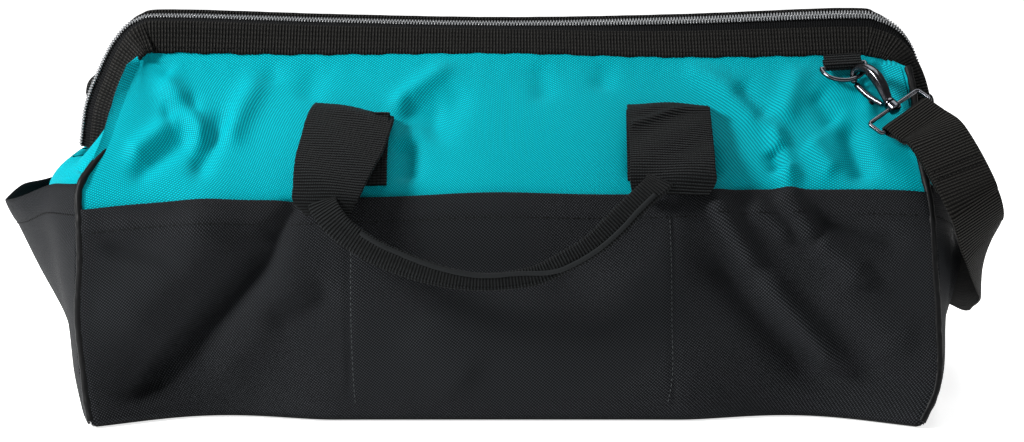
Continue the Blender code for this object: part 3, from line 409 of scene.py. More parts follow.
def thicken(thing, thick, outwards=False):
    solid = thing.modifiers.new("thickness", "SOLIDIFY")
    solid.thickness, solid.offset = thick, 1.0 if outwards else -1.0


def cloth(name, grid, material, slot, facing, thick, outwards=False, **more):
    """An open sheet turned to look along facing, then given its thickness by Solidify."""
    quads, uv, _ = grid_parts(grid)
    points = grid.reshape(-1, 3)
    a, b, c, d = (points[quads[:, k]] for k in range(4))
    if np.dot(np.cross(c - a, d - b).sum(0), facing) < 0:
        quads, uv = quads[:, ::-1], uv[:, ::-1]
    thing = piece(name, points, quads.tolist(), uv.reshape(-1, 2), material, slot, **more)
    thicken(thing, thick, outwards)
    return thing


def sections(path, across, outline, ring=False):
    """path + across u + out w for each (u, w) of an outline, square to the path. The outline and the
    across direction are one for all rows or one for each row."""
    along = tangents(path, ring)
    across = square_to(across, along)
    out = np.cross(along, across)
    outline = np.broadcast_to(outline, (len(path), *np.shape(outline)[-2:]))
    return path[:, None] + across[:, None] * outline[..., :1] + out[:, None] * outline[..., 1:]


def oval(width, thick, power=8.0, count=28):
    """A superellipse: cos and sin raised to 2 / power, with their signs."""
    turn = (np.arange(count) + 0.5) * 2 * np.pi / count
    c, s = np.cos(turn), np.sin(turn)
    width, thick, power = (np.asarray(v, float)[..., None] for v in (width, thick, power))
    u = np.sign(c) * np.abs(c) ** (2 / power) * width / 2
    w = np.sign(s) * np.abs(s) ** (2 / power) * thick / 2
    return np.stack(np.broadcast_arrays(u, w), -1)


def circle(radius, sides=16):
    """Radius times cos and sin; a radius for each row gives a circle for each row."""
    turn = np.linspace(0, 2 * np.pi, sides, endpoint=False)
    return np.stack((np.cos(turn), np.sin(turn)), -1) * np.asarray(radius, float)[..., None, None]


def resample(path, spacing):
    """Row positions at equal steps along a path."""
    length = walked(path)
    at = np.arange(spacing / 2, length[-1], spacing)
    return np.interp(at, length, np.arange(len(path)))


def read(lines, at, places=None):
    """The lines at row positions, or at other numbers that places gives for each row."""
    places = np.arange(len(lines)) if places is None else places
    return np.stack([np.interp(at, places, column) for column in lines.T], -1)


def beads(name, centre, along, out, size, material, slot, pinch=(0.35, 1.0, 1.0, 0.35), **more):
    """Four hexagons along each bead's length, the outer two drawn in; size is length, width, height."""
    side = np.cross(out, along)
    turn = np.arange(6) * np.pi / 3
    reach = np.array((-0.5, -0.3, 0.3, 0.5)) * size[0]
    swell = np.array(pinch)[:, None]
    ring = (
        along[:, None, None] * reach[None, :, None, None]
        + side[:, None, None] * (swell * np.cos(turn) * size[1] / 2)[None, ..., None]
        + out[:, None, None] * (swell * np.sin(turn) * size[2] / 2)[None, ..., None]
    )
    points = (centre[:, None, None] + ring).reshape(-1, 3)
    quads, _, caps = grid_parts(np.arange(24.0).reshape(4, 6, 1), wrap_columns=True, caps=True)
    base = (np.arange(len(centre)) * 24)[:, None, None]
    faces = (base + quads[None]).reshape(-1, 4).tolist()
    faces += (base + np.array(caps)[None]).reshape(-1, 6).tolist()
    uvs = np.zeros((sum(len(f) for f in faces), 2))
    return piece(name, points, faces, uvs, material, slot, sharp=80, **more)


def stitches(name, path, off, material, pitch=0.0032, size=(0.0023, 0.0007, 0.0006)):
    """A bead of thread for each stitch, half sunk into the cloth."""
    at = resample(path, pitch)
    along = unit(read(tangents(path), at))
    out = square_to(read(off, at), along)
    return beads(name, read(path, at), along, out, size, material, "black_trim")


print("points round a band:", len(oval(HANDLE_WIDTH, HANDLE_WALL)))

# %% [markdown]
# ## Finishes
# One function turns a hex colour to linear light, and one adds a node with its settings and links.
# A pixel of the picture is about 0.6 mm, so the 0.5 mm yarns of the cloth are drawn about twice as
# coarse as real ones, which is the finest weave that still shows.

# %% Colour and node helpers
def linear(code):
    """((c + 0.055) / 1.055)^2.4, or c / 12.92 near black."""
    c = np.array([int(code[i:i + 2], 16) / 255 for i in (1, 3, 5)])
    return (*np.where(c <= 0.04045, c / 12.92, ((c + 0.055) / 1.055) ** 2.4).tolist(), 1.0)


def add(tree, kind, settings=None, values=None, links=None):
    node = tree.nodes.new(kind)
    for key, value in (settings or {}).items():
        setattr(node, key, value)
    for key, value in (values or {}).items():
        node.inputs[key].default_value = value
    for key, socket in (links or {}).items():
        tree.links.new(socket, node.inputs[key])
    return node


def new_material(name, roughness, metallic=0.0, colour="#808080", **values):
    material = bpy.data.materials.new(name)
    material.use_nodes = True
    shader = material.node_tree.nodes["Principled BSDF"]
    shader.inputs["Base Color"].default_value = linear(colour)
    shader.inputs["Roughness"].default_value = roughness
    shader.inputs["Metallic"].default_value = metallic
    for key, value in values.items():
        shader.inputs[key.replace("_", " ")].default_value = value
    return material, material.node_tree, shader


WAVE = 0.3141593  # a Wave Texture's period at scale 1: 2 pi / 20


def waves(tree, vector, pitch, direction):
    """Bands with a period of pitch metres."""
    return add(tree, "ShaderNodeTexWave", {"bands_direction": direction}, {"Scale": WAVE / pitch},
               {"Vector": vector}).outputs["Fac"]


def noise(tree, vector, scale, detail):
    """Soft random spots, about scale of them to a metre."""
    return add(tree, "ShaderNodeTexNoise", None, {"Scale": scale, "Detail": detail},
               {"Vector": vector}).outputs["Fac"]


def blend(tree, low, high, factor):
    node = add(tree, "ShaderNodeMix", {"data_type": "RGBA"})
    node.inputs[6].default_value, node.inputs[7].default_value = linear(low), linear(high)
    tree.links.new(factor, node.inputs[0])
    return node.outputs[2]


def math_node(tree, operation, first, second):
    node = add(tree, "ShaderNodeMath", {"operation": operation})
    for index, value in enumerate((first, second)):
        if isinstance(value, (int, float)):
            node.inputs[index].default_value = value
        else:
            tree.links.new(value, node.inputs[index])
    return node.outputs[0]

def plus(tree, first, second):
    return math_node(tree, "ADD", first, second)


def times(tree, first, second):
    return math_node(tree, "MULTIPLY", first, second)


def finish_bump(tree, shader, height, strength, depth):
    """Bumps up to depth metres high."""
    bump = add(tree, "ShaderNodeBump", None, {"Strength": strength, "Distance": depth},
               {"Height": height})
    tree.links.new(bump.outputs["Normal"], shader.inputs["Normal"])


print("wave period at scale 1, mm:", round(1000 * WAVE))

# %% [markdown]
# ### Oxford cloth
# Coated polyester oxford is a basket weave of thick and thin yarns. Seen from here it is a fine
# crosshatch at a slant, lighter where a yarn comes up. Two crossed wave textures multiplied give the
# basket, and a slow noise keeps the dye from being flat. The coating is dull: it has almost no
# highlight, so light and shade alone tell the folds.

# %% Cloth finishes
YARN_SLANT, YARN_RATIO = math.radians(38), 1.12  # the crossing yarns are a little thicker
YARN_RELIEF, RIB_RELIEF = 0.0006, 0.0013  # in metres


def oxford(name, low, high, pitch, roughness, bump, coordinates="UV"):
    """Colour runs from low to high with 1.2 over under + 0.09 (dye + speck)."""
    material, tree, shader = new_material(name, roughness, Specular_IOR_Level=0.03)
    uv = add(tree, "ShaderNodeTexCoord").outputs[coordinates]
    turned = add(tree, "ShaderNodeMapping", None, {"Rotation": (0, 0, YARN_SLANT)}, {"Vector": uv})
    over = waves(tree, turned.outputs[0], pitch, "X")
    under = waves(tree, turned.outputs[0], pitch * YARN_RATIO, "Y")
    weave = times(tree, over, under)
    dye, speck = noise(tree, uv, 9.0, 3.0), noise(tree, uv, 900.0, 1.0)
    level = plus(tree, times(tree, weave, 1.20), times(tree, plus(tree, dye, speck), 0.09))
    tree.links.new(blend(tree, low, high, level), shader.inputs["Base Color"])
    finish_bump(tree, shader, weave, bump, YARN_RELIEF)
    return material


# Bright yarn tops on a deeper ground: a clear teal that still looks woven.
teal_cloth = oxford("coated_oxford_teal", "#005F6A", "#00B1BD", 0.00125, 0.62, 0.4)
# Grey yarn tops on pure black: dark grey from afar, a crosshatch from near by.
black_cloth = oxford("coated_oxford_black", "#000000", "#343639", 0.00132, 0.60, 1.0)
# The same cloth on the base board, rubbed duller; its weave follows object coordinates.
base_cloth = oxford("coated_oxford_base", "#010202", "#222528", 0.00128, 0.70, 0.5, "Object")
print("cloths:", teal_cloth.name, black_cloth.name, base_cloth.name)

# %% [markdown]
# ### Webbing, piping and tape
# Webbing has thick ribs across its length, bound by fine warp threads along it. Piping is a cord in
# smooth coated tape, so it shows one long soft highlight.

# %% Webbing finishes
def webbing(name, low, high, rib, warp, bump, roughness=0.66, rib_tone_and_highlight=0.9):
    """Height is 0.7 ribs + 0.5 ribs threads; its square sets the colour, which gives the ribs their tone
    and paints a highlight on their tops.
    """
    material, tree, shader = new_material(name, roughness, Sheen_Weight=0.02, Sheen_Roughness=0.4,
                                          Specular_IOR_Level=0.06)
    uv = add(tree, "ShaderNodeTexCoord").outputs["UV"]
    ribs, threads = waves(tree, uv, rib, "Y"), waves(tree, uv, warp, "X")
    speck = noise(tree, uv, 700.0, 2.0)
    height = plus(tree, times(tree, ribs, 0.7), times(tree, times(tree, ribs, threads), 0.5))
    level = plus(tree, times(tree, math_node(tree, "POWER", height, 2.0), rib_tone_and_highlight),
                 times(tree, speck, 0.12))
    tree.links.new(blend(tree, low, high, level), shader.inputs["Base Color"])
    finish_bump(tree, shader, height, bump, RIB_RELIEF)
    return material


# Warm black with wide blocks: the ribs that bend over the frame, with a painted highlight on their tops.
binding_webbing = webbing("webbing_ribbed_binding", "#000000", "#262523", 0.0020, 0.0030, 1.0)
# A cooler black, closely ribbed: the handles look denser than the binding.
handle_webbing = webbing("webbing_handle", "#000000", "#222526", 0.0020, 0.0016, 1.0)
# The palest of the three: its paler colour is painted light, as the strap lies flat to the light.
strap_webbing = webbing("webbing_strap", "#000000", "#2C2B28", 0.0019, 0.0018, 1.0)
# Fine flat twill beside the zip, nearly without ribs.
tape_weave = webbing("zip_tape_twill", "#020203", "#151617", 0.0016, 0.0011, 0.4, 0.8)
# Smooth coated tape with small puckers: a thin bright line down each corner.
piping_tape, tree, shader = new_material("coated_piping_tape", 0.5, Specular_IOR_Level=0.12)
puckers = noise(tree, add(tree, "ShaderNodeTexCoord").outputs["UV"], 260.0, 2.0)
tree.links.new(blend(tree, "#010101", "#0E0F10", puckers), shader.inputs["Base Color"])
finish_bump(tree, shader, puckers, 0.25, YARN_RELIEF)
# A selvedge and threads have no texture, as each is under a pixel wide: only their tone shows.
selvedge = new_material("webbing_selvedge", 0.7, colour="#17191A", Specular_IOR_Level=0.1)[0]
thread = new_material("polyester_thread_black", 0.6, colour="#050606", Specular_IOR_Level=0.1)[0]
thread_light = new_material("polyester_thread_worn", 0.6, colour="#3E4142", Specular_IOR_Level=0.1)[0]
print("webbings:", binding_webbing.name, handle_webbing.name, strap_webbing.name, tape_weave.name)

# %% [markdown]
# ### Zip and hardware
# The coil is moulded nylon, glossier than the cloth around it. The hardware is zinc plated with
# black nickel: a dark metal that still mirrors the lights.

# %% Hard finishes
# The teeth's grey is a painted highlight on a dark nylon coil; with the gloss it makes the row of teeth
# glitter between the dull tapes.
zip_nylon = new_material("moulded_nylon_coil", 0.25, colour="#66686A", Specular_IOR_Level=0.8)[0]
# Wear makes the plate duller and paler in spots, so its mirror looks handled.
nickel, tree, shader = new_material("black_nickel_plate", 0.20, 1.0, "#47484C")
wear = noise(tree, add(tree, "ShaderNodeTexCoord").outputs["Object"], 420.0, 3.0)
tree.links.new(plus(tree, times(tree, wear, 0.16), 0.10), shader.inputs["Roughness"])
tree.links.new(blend(tree, "#2B2C2F", "#5C5D62", wear), shader.inputs["Base Color"])
print("hard finishes:", zip_nylon.name, nickel.name)

# %% [markdown]
# ## Folds
# Each fold of the walls is a line with a height and a width: a smooth hump across the line that dies
# away at its two ends. Positive heights stand out and negative ones sink in. A few long slow waves
# under them keep the cloth from looking pressed.

# %% Fold tables, in millimetres
TEAL_FOLDS = (  # x0, z0, x1, z1, height, width
    (-223, 206, -186, 164, 2.6, 7.0), (-179, 166, -158, 206, 2.2, 7.5), (-196, 148, -176, 186, -2.0, 6.0),
    (-236, 148, -196, 174, -1.7, 6.5), (-219, 180, -194, 190, -2.0, 6.0), (-233, 216, -214, 205, -1.8, 5.0),
    (-238, 158, -205, 184, 1.8, 6.0), (-34, 214, -74, 186, 2.6, 5.5), (-40, 184, -68, 188, -2.0, 8.0),
    (-28, 200, -48, 168, -1.2, 9.0), (112, 217, 168, 175, 2.2, 8.0), (167, 178, 178, 143, 2.2, 5.5),
    (146, 200, 166, 180, -2.2, 6.0), (214, 180, 224, 146, -2.6, 8.0), (189, 212, 174, 178, 2.0, 7.0),
    (168, 164, 172, 152, -2.4, 6.0), (190, 170, 205, 150, 1.4, 7.0), (196, 196, 208, 178, -1.6, 7.0),
    (20, 214, 24, 190, -1.0, 7.0), (62, 214, 60, 196, -1.2, 6.0), (-120, 214, -128, 190, -1.2, 8.0),
    (-150, 216, -150, 200, -1.4, 5.0), (88, 170, 84, 146, -1.6, 8.0), (122, 166, 128, 146, -1.6, 7.0),
    (-64, 170, -62, 146, -1.8, 7.0), (232, 212, 228, 178, 1.2, 6.0),
)
BLACK_FOLDS = (
    (-238, 6, -136, 120, -4.2, 9.5), (-246, 52, -170, 134, 2.6, 20.0), (-190, 20, -120, 100, 1.6, 15.0),
    (-252, 110, -200, 96, -1.0, 5.0), (-250, 122, -180, 118, 1.0, 6.0), (150, 97, 212, 28, 3.4, 9.0),
    (124, 140, 154, 92, 2.8, 8.0), (118, 116, 196, 18, -2.6, 11.0), (190, 113, 224, 88, 2.0, 8.0),
    (186, 128, 247, 108, -1.8, 7.0), (170, 142, 192, 112, 2.0, 7.0),
    (196, 92, 252, 40, 1.8, 16.0), (-60, 60, -20, 24, 0.9, 18.0), (30, 96, 70, 60, -0.9, 16.0),
    (-150, 60, -106, 84, -1.2, 9.0), (150, 134, 176, 112, 1.4, 5.0), (-128, 136, -150, 112, -1.4, 6.0),
)
SLOW_WAVES = ((31, 12, 0.4), (17, -38, 1.9), (52, 27, 3.1), (-44, 61, 5.0), (73, 15, 0.9), (24, 90, 2.6))
TEAL_DEPTH, BLACK_DEPTH = 2.7, 3.3  # both tables are deepened by these


def fold_height(table, x, z):
    """Sum of height exp(-(distance / width)^2) times a bump that is 1 at the line's middle."""
    total = np.zeros(np.broadcast(x, z).shape)
    for x0, z0, x1, z1, height, width in np.array(table) / 1000:
        length = math.hypot(x1 - x0, z1 - z0)
        ux, uz = (x1 - x0) / length, (z1 - z0) / length
        t = ((x - x0) * ux + (z - z0) * uz) / length
        d = ((x - x0) * uz - (z - z0) * ux) / width
        total += height * np.exp(-d * d) * np.exp(-np.clip(np.abs(2 * t - 1) - 0.55, 0, None) ** 2 * 9)
    return total


def rumple(x, z, size=0.00035):
    """Six slanted sine waves, added."""
    return size * sum(np.sin(a * x + b * z + c) for a, b, c in SLOW_WAVES)


SEAM_X = (-0.098, 0.103)  # the front pocket is sewn down here
HEM_DROP = 0.0137
CALM_EDGE = 0.018  # all relief dies away over this width at the pipings and the foot


def relief(x, z, side, pocket):
    """Everything that moves a wall off its plain shape, in metres: folds, slow waves, gathers under
    the binding as sin^2, and along each pocket seam a groove between two soft swells."""
    x = x * -side
    height = TEAL_DEPTH * fold_height(TEAL_FOLDS, x, z) + BLACK_DEPTH * fold_height(BLACK_FOLDS, x, z)
    height = (height + rumple(x, z)) * (0.6 if side > 0 else 1.0)
    height += -0.0008 * np.sin(x * 210) ** 2 * step((z - 0.196) / 0.02) * (1 if side < 0 else 0.5)
    if pocket:
        for seam in SEAM_X:
            height -= 0.0011 * np.exp(-((x - seam) / 0.0022) ** 2)
            height += 0.0008 * np.exp(-((x - seam) / 0.014) ** 2)
    return height * step((HALF_LENGTH - np.abs(x)) / CALM_EDGE) * step((z - WALL_FOOT) / CALM_EDGE)


print("folds:", len(TEAL_FOLDS) + len(BLACK_FOLDS))

# %% [markdown]
# ## The walls
# Front and back are one teal sheet above and one black pocket layer below. Their edges run on into
# the pipings and under the binding, where the real ones are sewn, so no light shows through a seam.

# %% Where a wall meets its pipings
def piping_top(end, side):
    """The height at which a corner piping ends, just under the binding; on the front's left the cloth
    falls over it sooner."""
    if (end, side) == (-1, -1):
        return 0.170
    return min(wall_top(float(end), side)[2] - 0.0010, 0.92 * BAG_HEIGHT)


def wall_columns(count):
    """Columns from -1 to 1, closer together towards both ends."""
    even = np.linspace(-1, 1, count)
    return even + 0.35 * (np.sin(even * math.pi / 2) - even)


def to_pipings(grid, side):
    """Two more columns at each edge. Beside a piping they go three quarters of the way to its middle;
    above its end they go right out to the corner's line and turn back 7 mm round it."""
    columns = []
    for end, edge in ((-1, grid[:, 0]), (1, grid[:, -1])):
        corner = corner_line(end, side, edge[:, 2])
        above = step((edge[:, 2:] - piping_top(end, side) + 0.018) / 0.012) * (end < 0)
        sewn = edge + (corner - edge) * 0.72
        over = corner + (0, side * 0.0010, 0)
        back = corner - (end * 0.0015, side * 0.0070, 0)
        columns.append((sewn * (1 - above) + over * above)[:, None])
        columns.append(((edge + (corner - edge) * 0.78) * (1 - above) + back * above)[:, None])
    return np.concatenate((columns[1], columns[0], grid, columns[2], columns[3]), 1)


print("piping tops in mm:", [round(1000 * float(piping_top(e, s))) for s, _ in SIDES for e, _ in ENDS])

# %% [markdown]
# ### The teal sheet
# It starts a little under the pocket layer's top and runs up to the binding. There its last row turns
# in under the binding's edge.

# %% The teal sheet of a wall
def wall_cloth(side, where, along, edge, fine):
    """From under the pocket layer up to a last row that is tucked in under the binding."""
    share = np.linspace(edge - 0.09, 1, int(64 * fine))[:, None]
    plain = wall(along, share, side)
    lift = relief(plain[..., 0], plain[..., 2], side, False) * (1 - share**14)
    upper = to_pipings(wall(along, share, side, lift), side)
    if side < 0:  # on the left the cloth bellies over its piping
        over = step((upper[..., 2] - 0.155) / 0.020) * step((-upper[..., 0] - 0.222) / 0.022)
        over = over * (1 - step((upper[..., 2] - 0.196) / 0.020))
        upper = upper + np.stack((-0.0022 * over, -0.0030 * over, 0 * over), -1)
    edges = np.pad(along[0], 2, mode="edge")
    _, _, _, band, under = mouth(mouth_row(edges), side)
    reach = 0.007 - 0.0055 * step((np.abs(edges) - 0.82) / 0.08)
    tuck = (under - band * reach[:, None])[None]
    cloth(f"{where}_cloth", np.concatenate((upper, tuck)), teal_cloth, "teal_cloth", (0, side, 0),
          PANEL_WALL, replaces=(f"{where}_panel",))


print("the teal sheet starts at a share of", round(float(pocket_share(-1)) - 0.09, 2))

# %% [markdown]
# ### The pocket layer
# The layer lies on the same wall, a little further out, with a hem along its top. Rows of thread hold
# its hem and its edge, and two seams part it into three pockets.

# %% The pocket layer of a wall and its stitches
def pocket_layer(side, where, along, edge, fine):
    """The lower part of the wall, moved out by its relief and a hem, and run on down to the rim."""
    share = edge * np.linspace(0, 1, int(84 * fine))[:, None]
    plain = wall(along, share, side)
    hem = 0.0005 * step((plain[..., 2] - (plain[-1, :, 2] - HEM_DROP)[None]) / 0.0012)
    lift = relief(plain[..., 0], plain[..., 2], side, True) + hem + 2 * GAP
    lower = to_pipings(wall(along, share, side, lift), side)
    foot = lower[:1] - (0, 0, WALL_FOOT - RIM_RADIUS)
    cloth(f"{where}_pocket_layer", np.concatenate((foot, lower)), black_cloth, "black_cloth",
          (0, side, 0), POCKET_WALL, outwards=True, replaces=(f"{where}_pocket",))


def on_pocket(along, share, side):
    """A line on the pocket layer's face, and the way out of it."""
    place = wall(along, share, side)
    base = relief(place[:, 0], place[:, 2], side, True) + 2 * GAP + POCKET_WALL
    low, high = wall(along, share, side, base + 0.0002), wall(along, share, side, base + 0.0012)
    return low, unit(high - low)


def wall_stitches(side, where, edge):
    along, up = np.linspace(-0.985, 0.985, 700), np.linspace(0.03, edge, 300)
    hem = edge - HEM_DROP / (wall_top(along, side)[:, 2] - WALL_FOOT)
    stitches(f"{where}_hem_stitches", *on_pocket(along, hem, side), thread)
    stitches(f"{where}_edge_stitches", *on_pocket(along, edge * 0.988, side), thread, pitch=0.0030)
    for index, seam in enumerate(SEAM_X):
        line, off = on_pocket(-side * seam / HALF_LENGTH, up, side)
        stitches(f"{where}_pocket_seam_{index + 1}", line, off, thread_light, pitch=0.0034,
                 size=(0.0020, 0.0005, 0.0005))


for side, where in SIDES:
    fine = 1.0 if side < 0 else 0.6  # the back is hidden and takes fewer points
    along, edge = wall_columns(int(260 * fine))[None], pocket_share(side)
    wall_cloth(side, where, along, edge, fine)
    pocket_layer(side, where, along, edge, fine)
    wall_stitches(side, where, edge)

# %% [markdown]
# ## The ends
# An end is one sheet below. Above, the zip parts it into two flaps that are sewn to the bindings, and
# a small shelf closes the foot of the slit.

# %% End sheets
def end_columns(half):
    """Columns across an end, with the slit's own three in the middle."""
    slit = SLIT_WIDTH / (2 * HALF_DEPTH)
    side = -slit - np.linspace(1, 0, half) * (1 - slit)
    return np.concatenate((side, (-slit / 2, 0.0, slit / 2), -side[::-1]))


def end_flap(end, side, joint, top):
    """Straight rows from the corner piping to the binding, on from the sheet's top edge, with a belly
    of sin(pi t^0.8) (1 - share)^4."""
    share = np.linspace(0, 1, 40)
    last = CORNER_LEFT - END_STOP if end < 0 else CORNER_RIGHT + END_STOP
    first = 0.0 if end < 0 else MOUTH_ROWS
    _, _, _, band, edge = mouth(first + (last - first) * share, side)
    inner = edge - band * 0.004
    covered = (end, side) == (-1, -1)  # here the front cloth falls over the piping
    peak = 0.205 if covered else piping_top(end, side)
    outer = corner_line(end, side, top + (peak - top) * (share * 39 + 1) / 40)
    outer = outer + unit(inner - outer) * 0.001
    if covered:
        outer = outer + step((outer[:, 2:] - 0.158) / 0.016) * (0.0050, 0.0065, 0)
    t = np.linspace(0, 1, len(joint))[None, :, None]
    upper = outer[:, None] * (1 - t) + inner[:, None] * t
    belly = np.sin(np.pi * t[..., 0] ** 0.8) * (1 - share[:, None]) ** 4
    upper[..., 0] += end * belly * (0.013 if end < 0 else 0.006)
    return np.concatenate((joint[None], upper))


def joined(grids, end):
    """Points, faces and UVs of several grids in one mesh, all facing out of the end."""
    points, faces, uvs, count = [], [], [], 0
    for grid in grids:
        quads, uv, _ = grid_parts(grid)
        a, b, c, d = np.moveaxis(grid.reshape(-1, 3)[quads], 1, 0)
        if np.cross(c - a, d - b)[:, 0].sum() * end < 0:
            quads, uv = quads[:, ::-1], uv[:, ::-1]
        points.append(grid.reshape(-1, 3))
        faces.append(quads + count)
        uvs.append(uv.reshape(-1, 2))
        count += len(points[-1])
    return np.concatenate(points), np.concatenate(faces).tolist(), np.concatenate(uvs)


def end_sheet(end, where, half=26):
    top = SLIT_HEIGHT * BAG_HEIGHT
    across, z = end_columns(half), np.linspace(RIM_RADIUS, top, 60)
    low = end_skin(end, across[None], z[:, None])
    low[..., 0] += end * rumple(low[..., 1] * 1.4, low[..., 2]) * (1 - across[None] ** 4)
    lip = low[-1:, half - 1:1 - half]
    shelf = np.concatenate((lip, lip - (end * 0.010, 0, 0.0005)))
    front, back = low[-1, :half], low[-1, -half:][::-1]
    grids = (low, shelf, end_flap(end, -1, front, top), end_flap(end, 1, back, top))
    thing = piece(f"{where}_end_cloth", *joined(grids, end), teal_cloth, "teal_cloth",
                  replaces=(f"{where}_end_panel",))
    mesh = bmesh.new()
    mesh.from_mesh(thing.data)
    bmesh.ops.remove_doubles(mesh, verts=mesh.verts, dist=1e-5)
    mesh.to_mesh(thing.data)
    mesh.free()
    thicken(thing, PANEL_WALL)


print("columns across an end:", len(end_columns(26)))

# %% [markdown]
# ### End pockets
# Each end has an open pocket that gapes like a spoon, because its top edge is longer than the end it
# is sewn across. It is the end's own surface plus how far the pocket stands off it.

# %% End pockets
HEM_SHARE = 0.88  # the hem's stitches run at this share of the pocket's height


def end_pocket(end, where):
    across, share = np.linspace(-1, 1, 90), np.linspace(0, 1, 50)[:, None]
    rise = smooth(POCKET_GAPE["across"], POCKET_GAPE[f"{where}_top"], across) * POCKET_HEIGHT
    z = RIM_RADIUS + (rise[None] - RIM_RADIUS) * share
    layer = end_skin(end, across[None], z)
    stand = smooth(POCKET_STAND["height"], POCKET_STAND[where], z / BAG_HEIGHT) * 2 * HALF_DEPTH
    stand = stand * smooth(POCKET_GAPE["across"], POCKET_GAPE["stand"], across)[None]
    ease = 0.0011 + 0.0029 * (1 - np.abs(across[None]) ** 4.4)
    drape = 0.0012 * np.sin(9 * across[None] + 2) * share + rumple(across[None] * 0.12, z)
    soft = (1 - across[None] ** 4) * drape
    layer[..., 0] += end * (stand + ease + soft + 0.0006 * step((share - HEM_SHARE) / 0.02))
    cloth(f"{where}_end_pocket_layer", layer, black_cloth, "black_cloth", (end, 0, 0), POCKET_WALL,
          outwards=True, replaces=(f"{where}_end_pocket",))
    row = int(HEM_SHARE * (len(share) - 1))
    off = unit(np.cross(tangents(layer[row]), layer[row + 1] - layer[row]))
    off = towards(off, (end, 0, 0))
    stitches(f"{where}_end_hem_stitches", layer[row] + off * (POCKET_WALL + 0.0002), off, thread)


for end, where in ENDS:
    end_sheet(end, where)
    end_pocket(end, where)

# %% [markdown]
# ## Base, rim and pipings
# The base is a board in black cloth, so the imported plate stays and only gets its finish. The rim and
# the corner pipings are cords in tape: a circle carried along the lines where two walls meet.

# %% Base, rim and pipings
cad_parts["base_panel"].material_slots[0].material = base_cloth


def rim_line():
    """The feet of walls and ends in one ring, moved inwards by the rim's radius; points that come
    nearer to the ring than that are left out, which rounds the corners."""
    along, across = wall_columns(260), np.linspace(-1, 1, 80)
    foot = np.full(len(across), WALL_FOOT)
    ring = np.concatenate((wall(along, 0.0, -1), end_skin(1, across, foot),
                           wall(along, 0.0, 1)[::-1], end_skin(-1, across, foot)[::-1]))
    ring[:, 2] = 0
    side = tangents(ring, ring=True)
    moved = ring - np.stack((side[:, 1], -side[:, 0], 0 * side[:, 2]), -1) * RIM_RADIUS
    clear = np.linalg.norm(moved[:, None] - ring[None], axis=2).min(1)
    return moved[clear > RIM_RADIUS * 0.97] + (0, 0, RIM_RADIUS)


line = rim_line()
strip("base_rim_piping", sections(line, (0.0, 0, 1), circle(RIM_RADIUS, 12), True), piping_tape,
      "black_trim", ring=True, replaces=("base_rim",))
for side, face in SIDES:
    for end, where in ENDS:
        z = np.linspace(RIM_RADIUS * 2, piping_top(end, side), 160)
        line = corner_line(end, side, z)
        line[:, 0] += 0.0006 * np.sin(z * 95 + 1.7 * end) * step((z - 0.01) / 0.02)
        if (end, side) == (-1, -1):  # its top slips behind the front cloth
            line = line + step((z[:, None] - 0.146) / 0.020) * (0.0035, 0.0050, 0)
        radius = PIPING_RADIUS * (1 + 0.05 * np.sin(z * 520) + 0.04 * np.sin(z * 810 + 2))
        strip(f"corner_piping_{face}_{where}", sections(line, (1.0, 0, 0), circle(radius, 16)),
              piping_tape, "black_trim", replaces=(f"piping_{face}_{where}",))

# %% [markdown]
# ## The closed mouth
# The zip runs up one end, over the top and down the other. Each tooth is one bead that reaches past
# the middle, and the two rows sit half a pitch apart, which is how a closed coil locks.

# %% Zip
row = np.linspace(0, MOUTH_ROWS, 900)
chain, tape_front, _, _, _ = mouth(row, -1)
_, tape_back, _, _, _ = mouth(row, 1)
along = tangents(chain)
level = square_to(tape_back - tape_front, along)
off = towards(np.cross(level, along), chain - (0, 0, 0.10))
TOOTH_PITCH, TOOTH_WIDTH, TOOTH_HEIGHT = 0.0019, 0.00135, 0.0019
for side, where in SIDES:
    at = resample(chain, TOOTH_PITCH)
    at = at[:-1] + (0.5 * np.diff(at) if side > 0 else 0)
    across, up = unit(read(level, at)), unit(read(off, at))
    centre = read(chain, at) + across * side * CHAIN_WIDTH * 0.21 + up * 0.0007
    beads(f"zip_teeth_{where}", centre, across * side, up, (CHAIN_WIDTH * 0.56, TOOTH_WIDTH, TOOTH_HEIGHT),
          zip_nylon, "zip_coil", pinch=(0.75, 1.0, 0.9, 0.5), replaces=("zip_chain",) if side < 0 else ())
for side, where in SIDES:
    _, tape, top, band, _ = mouth(row, side)
    start = chain - level * side * 0.0004
    finish = top + band * 0.002 - tape * GAP
    middle, across = (start + finish) / 2, finish - start
    across = across - along * (across * along).sum(-1, keepdims=True)
    outline = oval(np.linalg.norm(across, axis=1), TAPE_WALL)
    strip(f"zip_tape_weave_{where}", sections(middle[::2], across[::2], outline[::2]), tape_weave,
          "black_trim", replaces=(f"zip_tape_{where}",))
print("teeth in a row:", len(at))

# %% [markdown]
# ### Binding over the frame
# Ribbed webbing is folded over the steel frame and the top of the cloth. Sewing draws its edge in,
# so that edge is a little wavy and the face puckers between stitches.

# %% Bindings
row = np.linspace(0, MOUTH_ROWS, 1500)
chain = mouth(row, -1)[0]
along, length = tangents(chain), walked(chain)
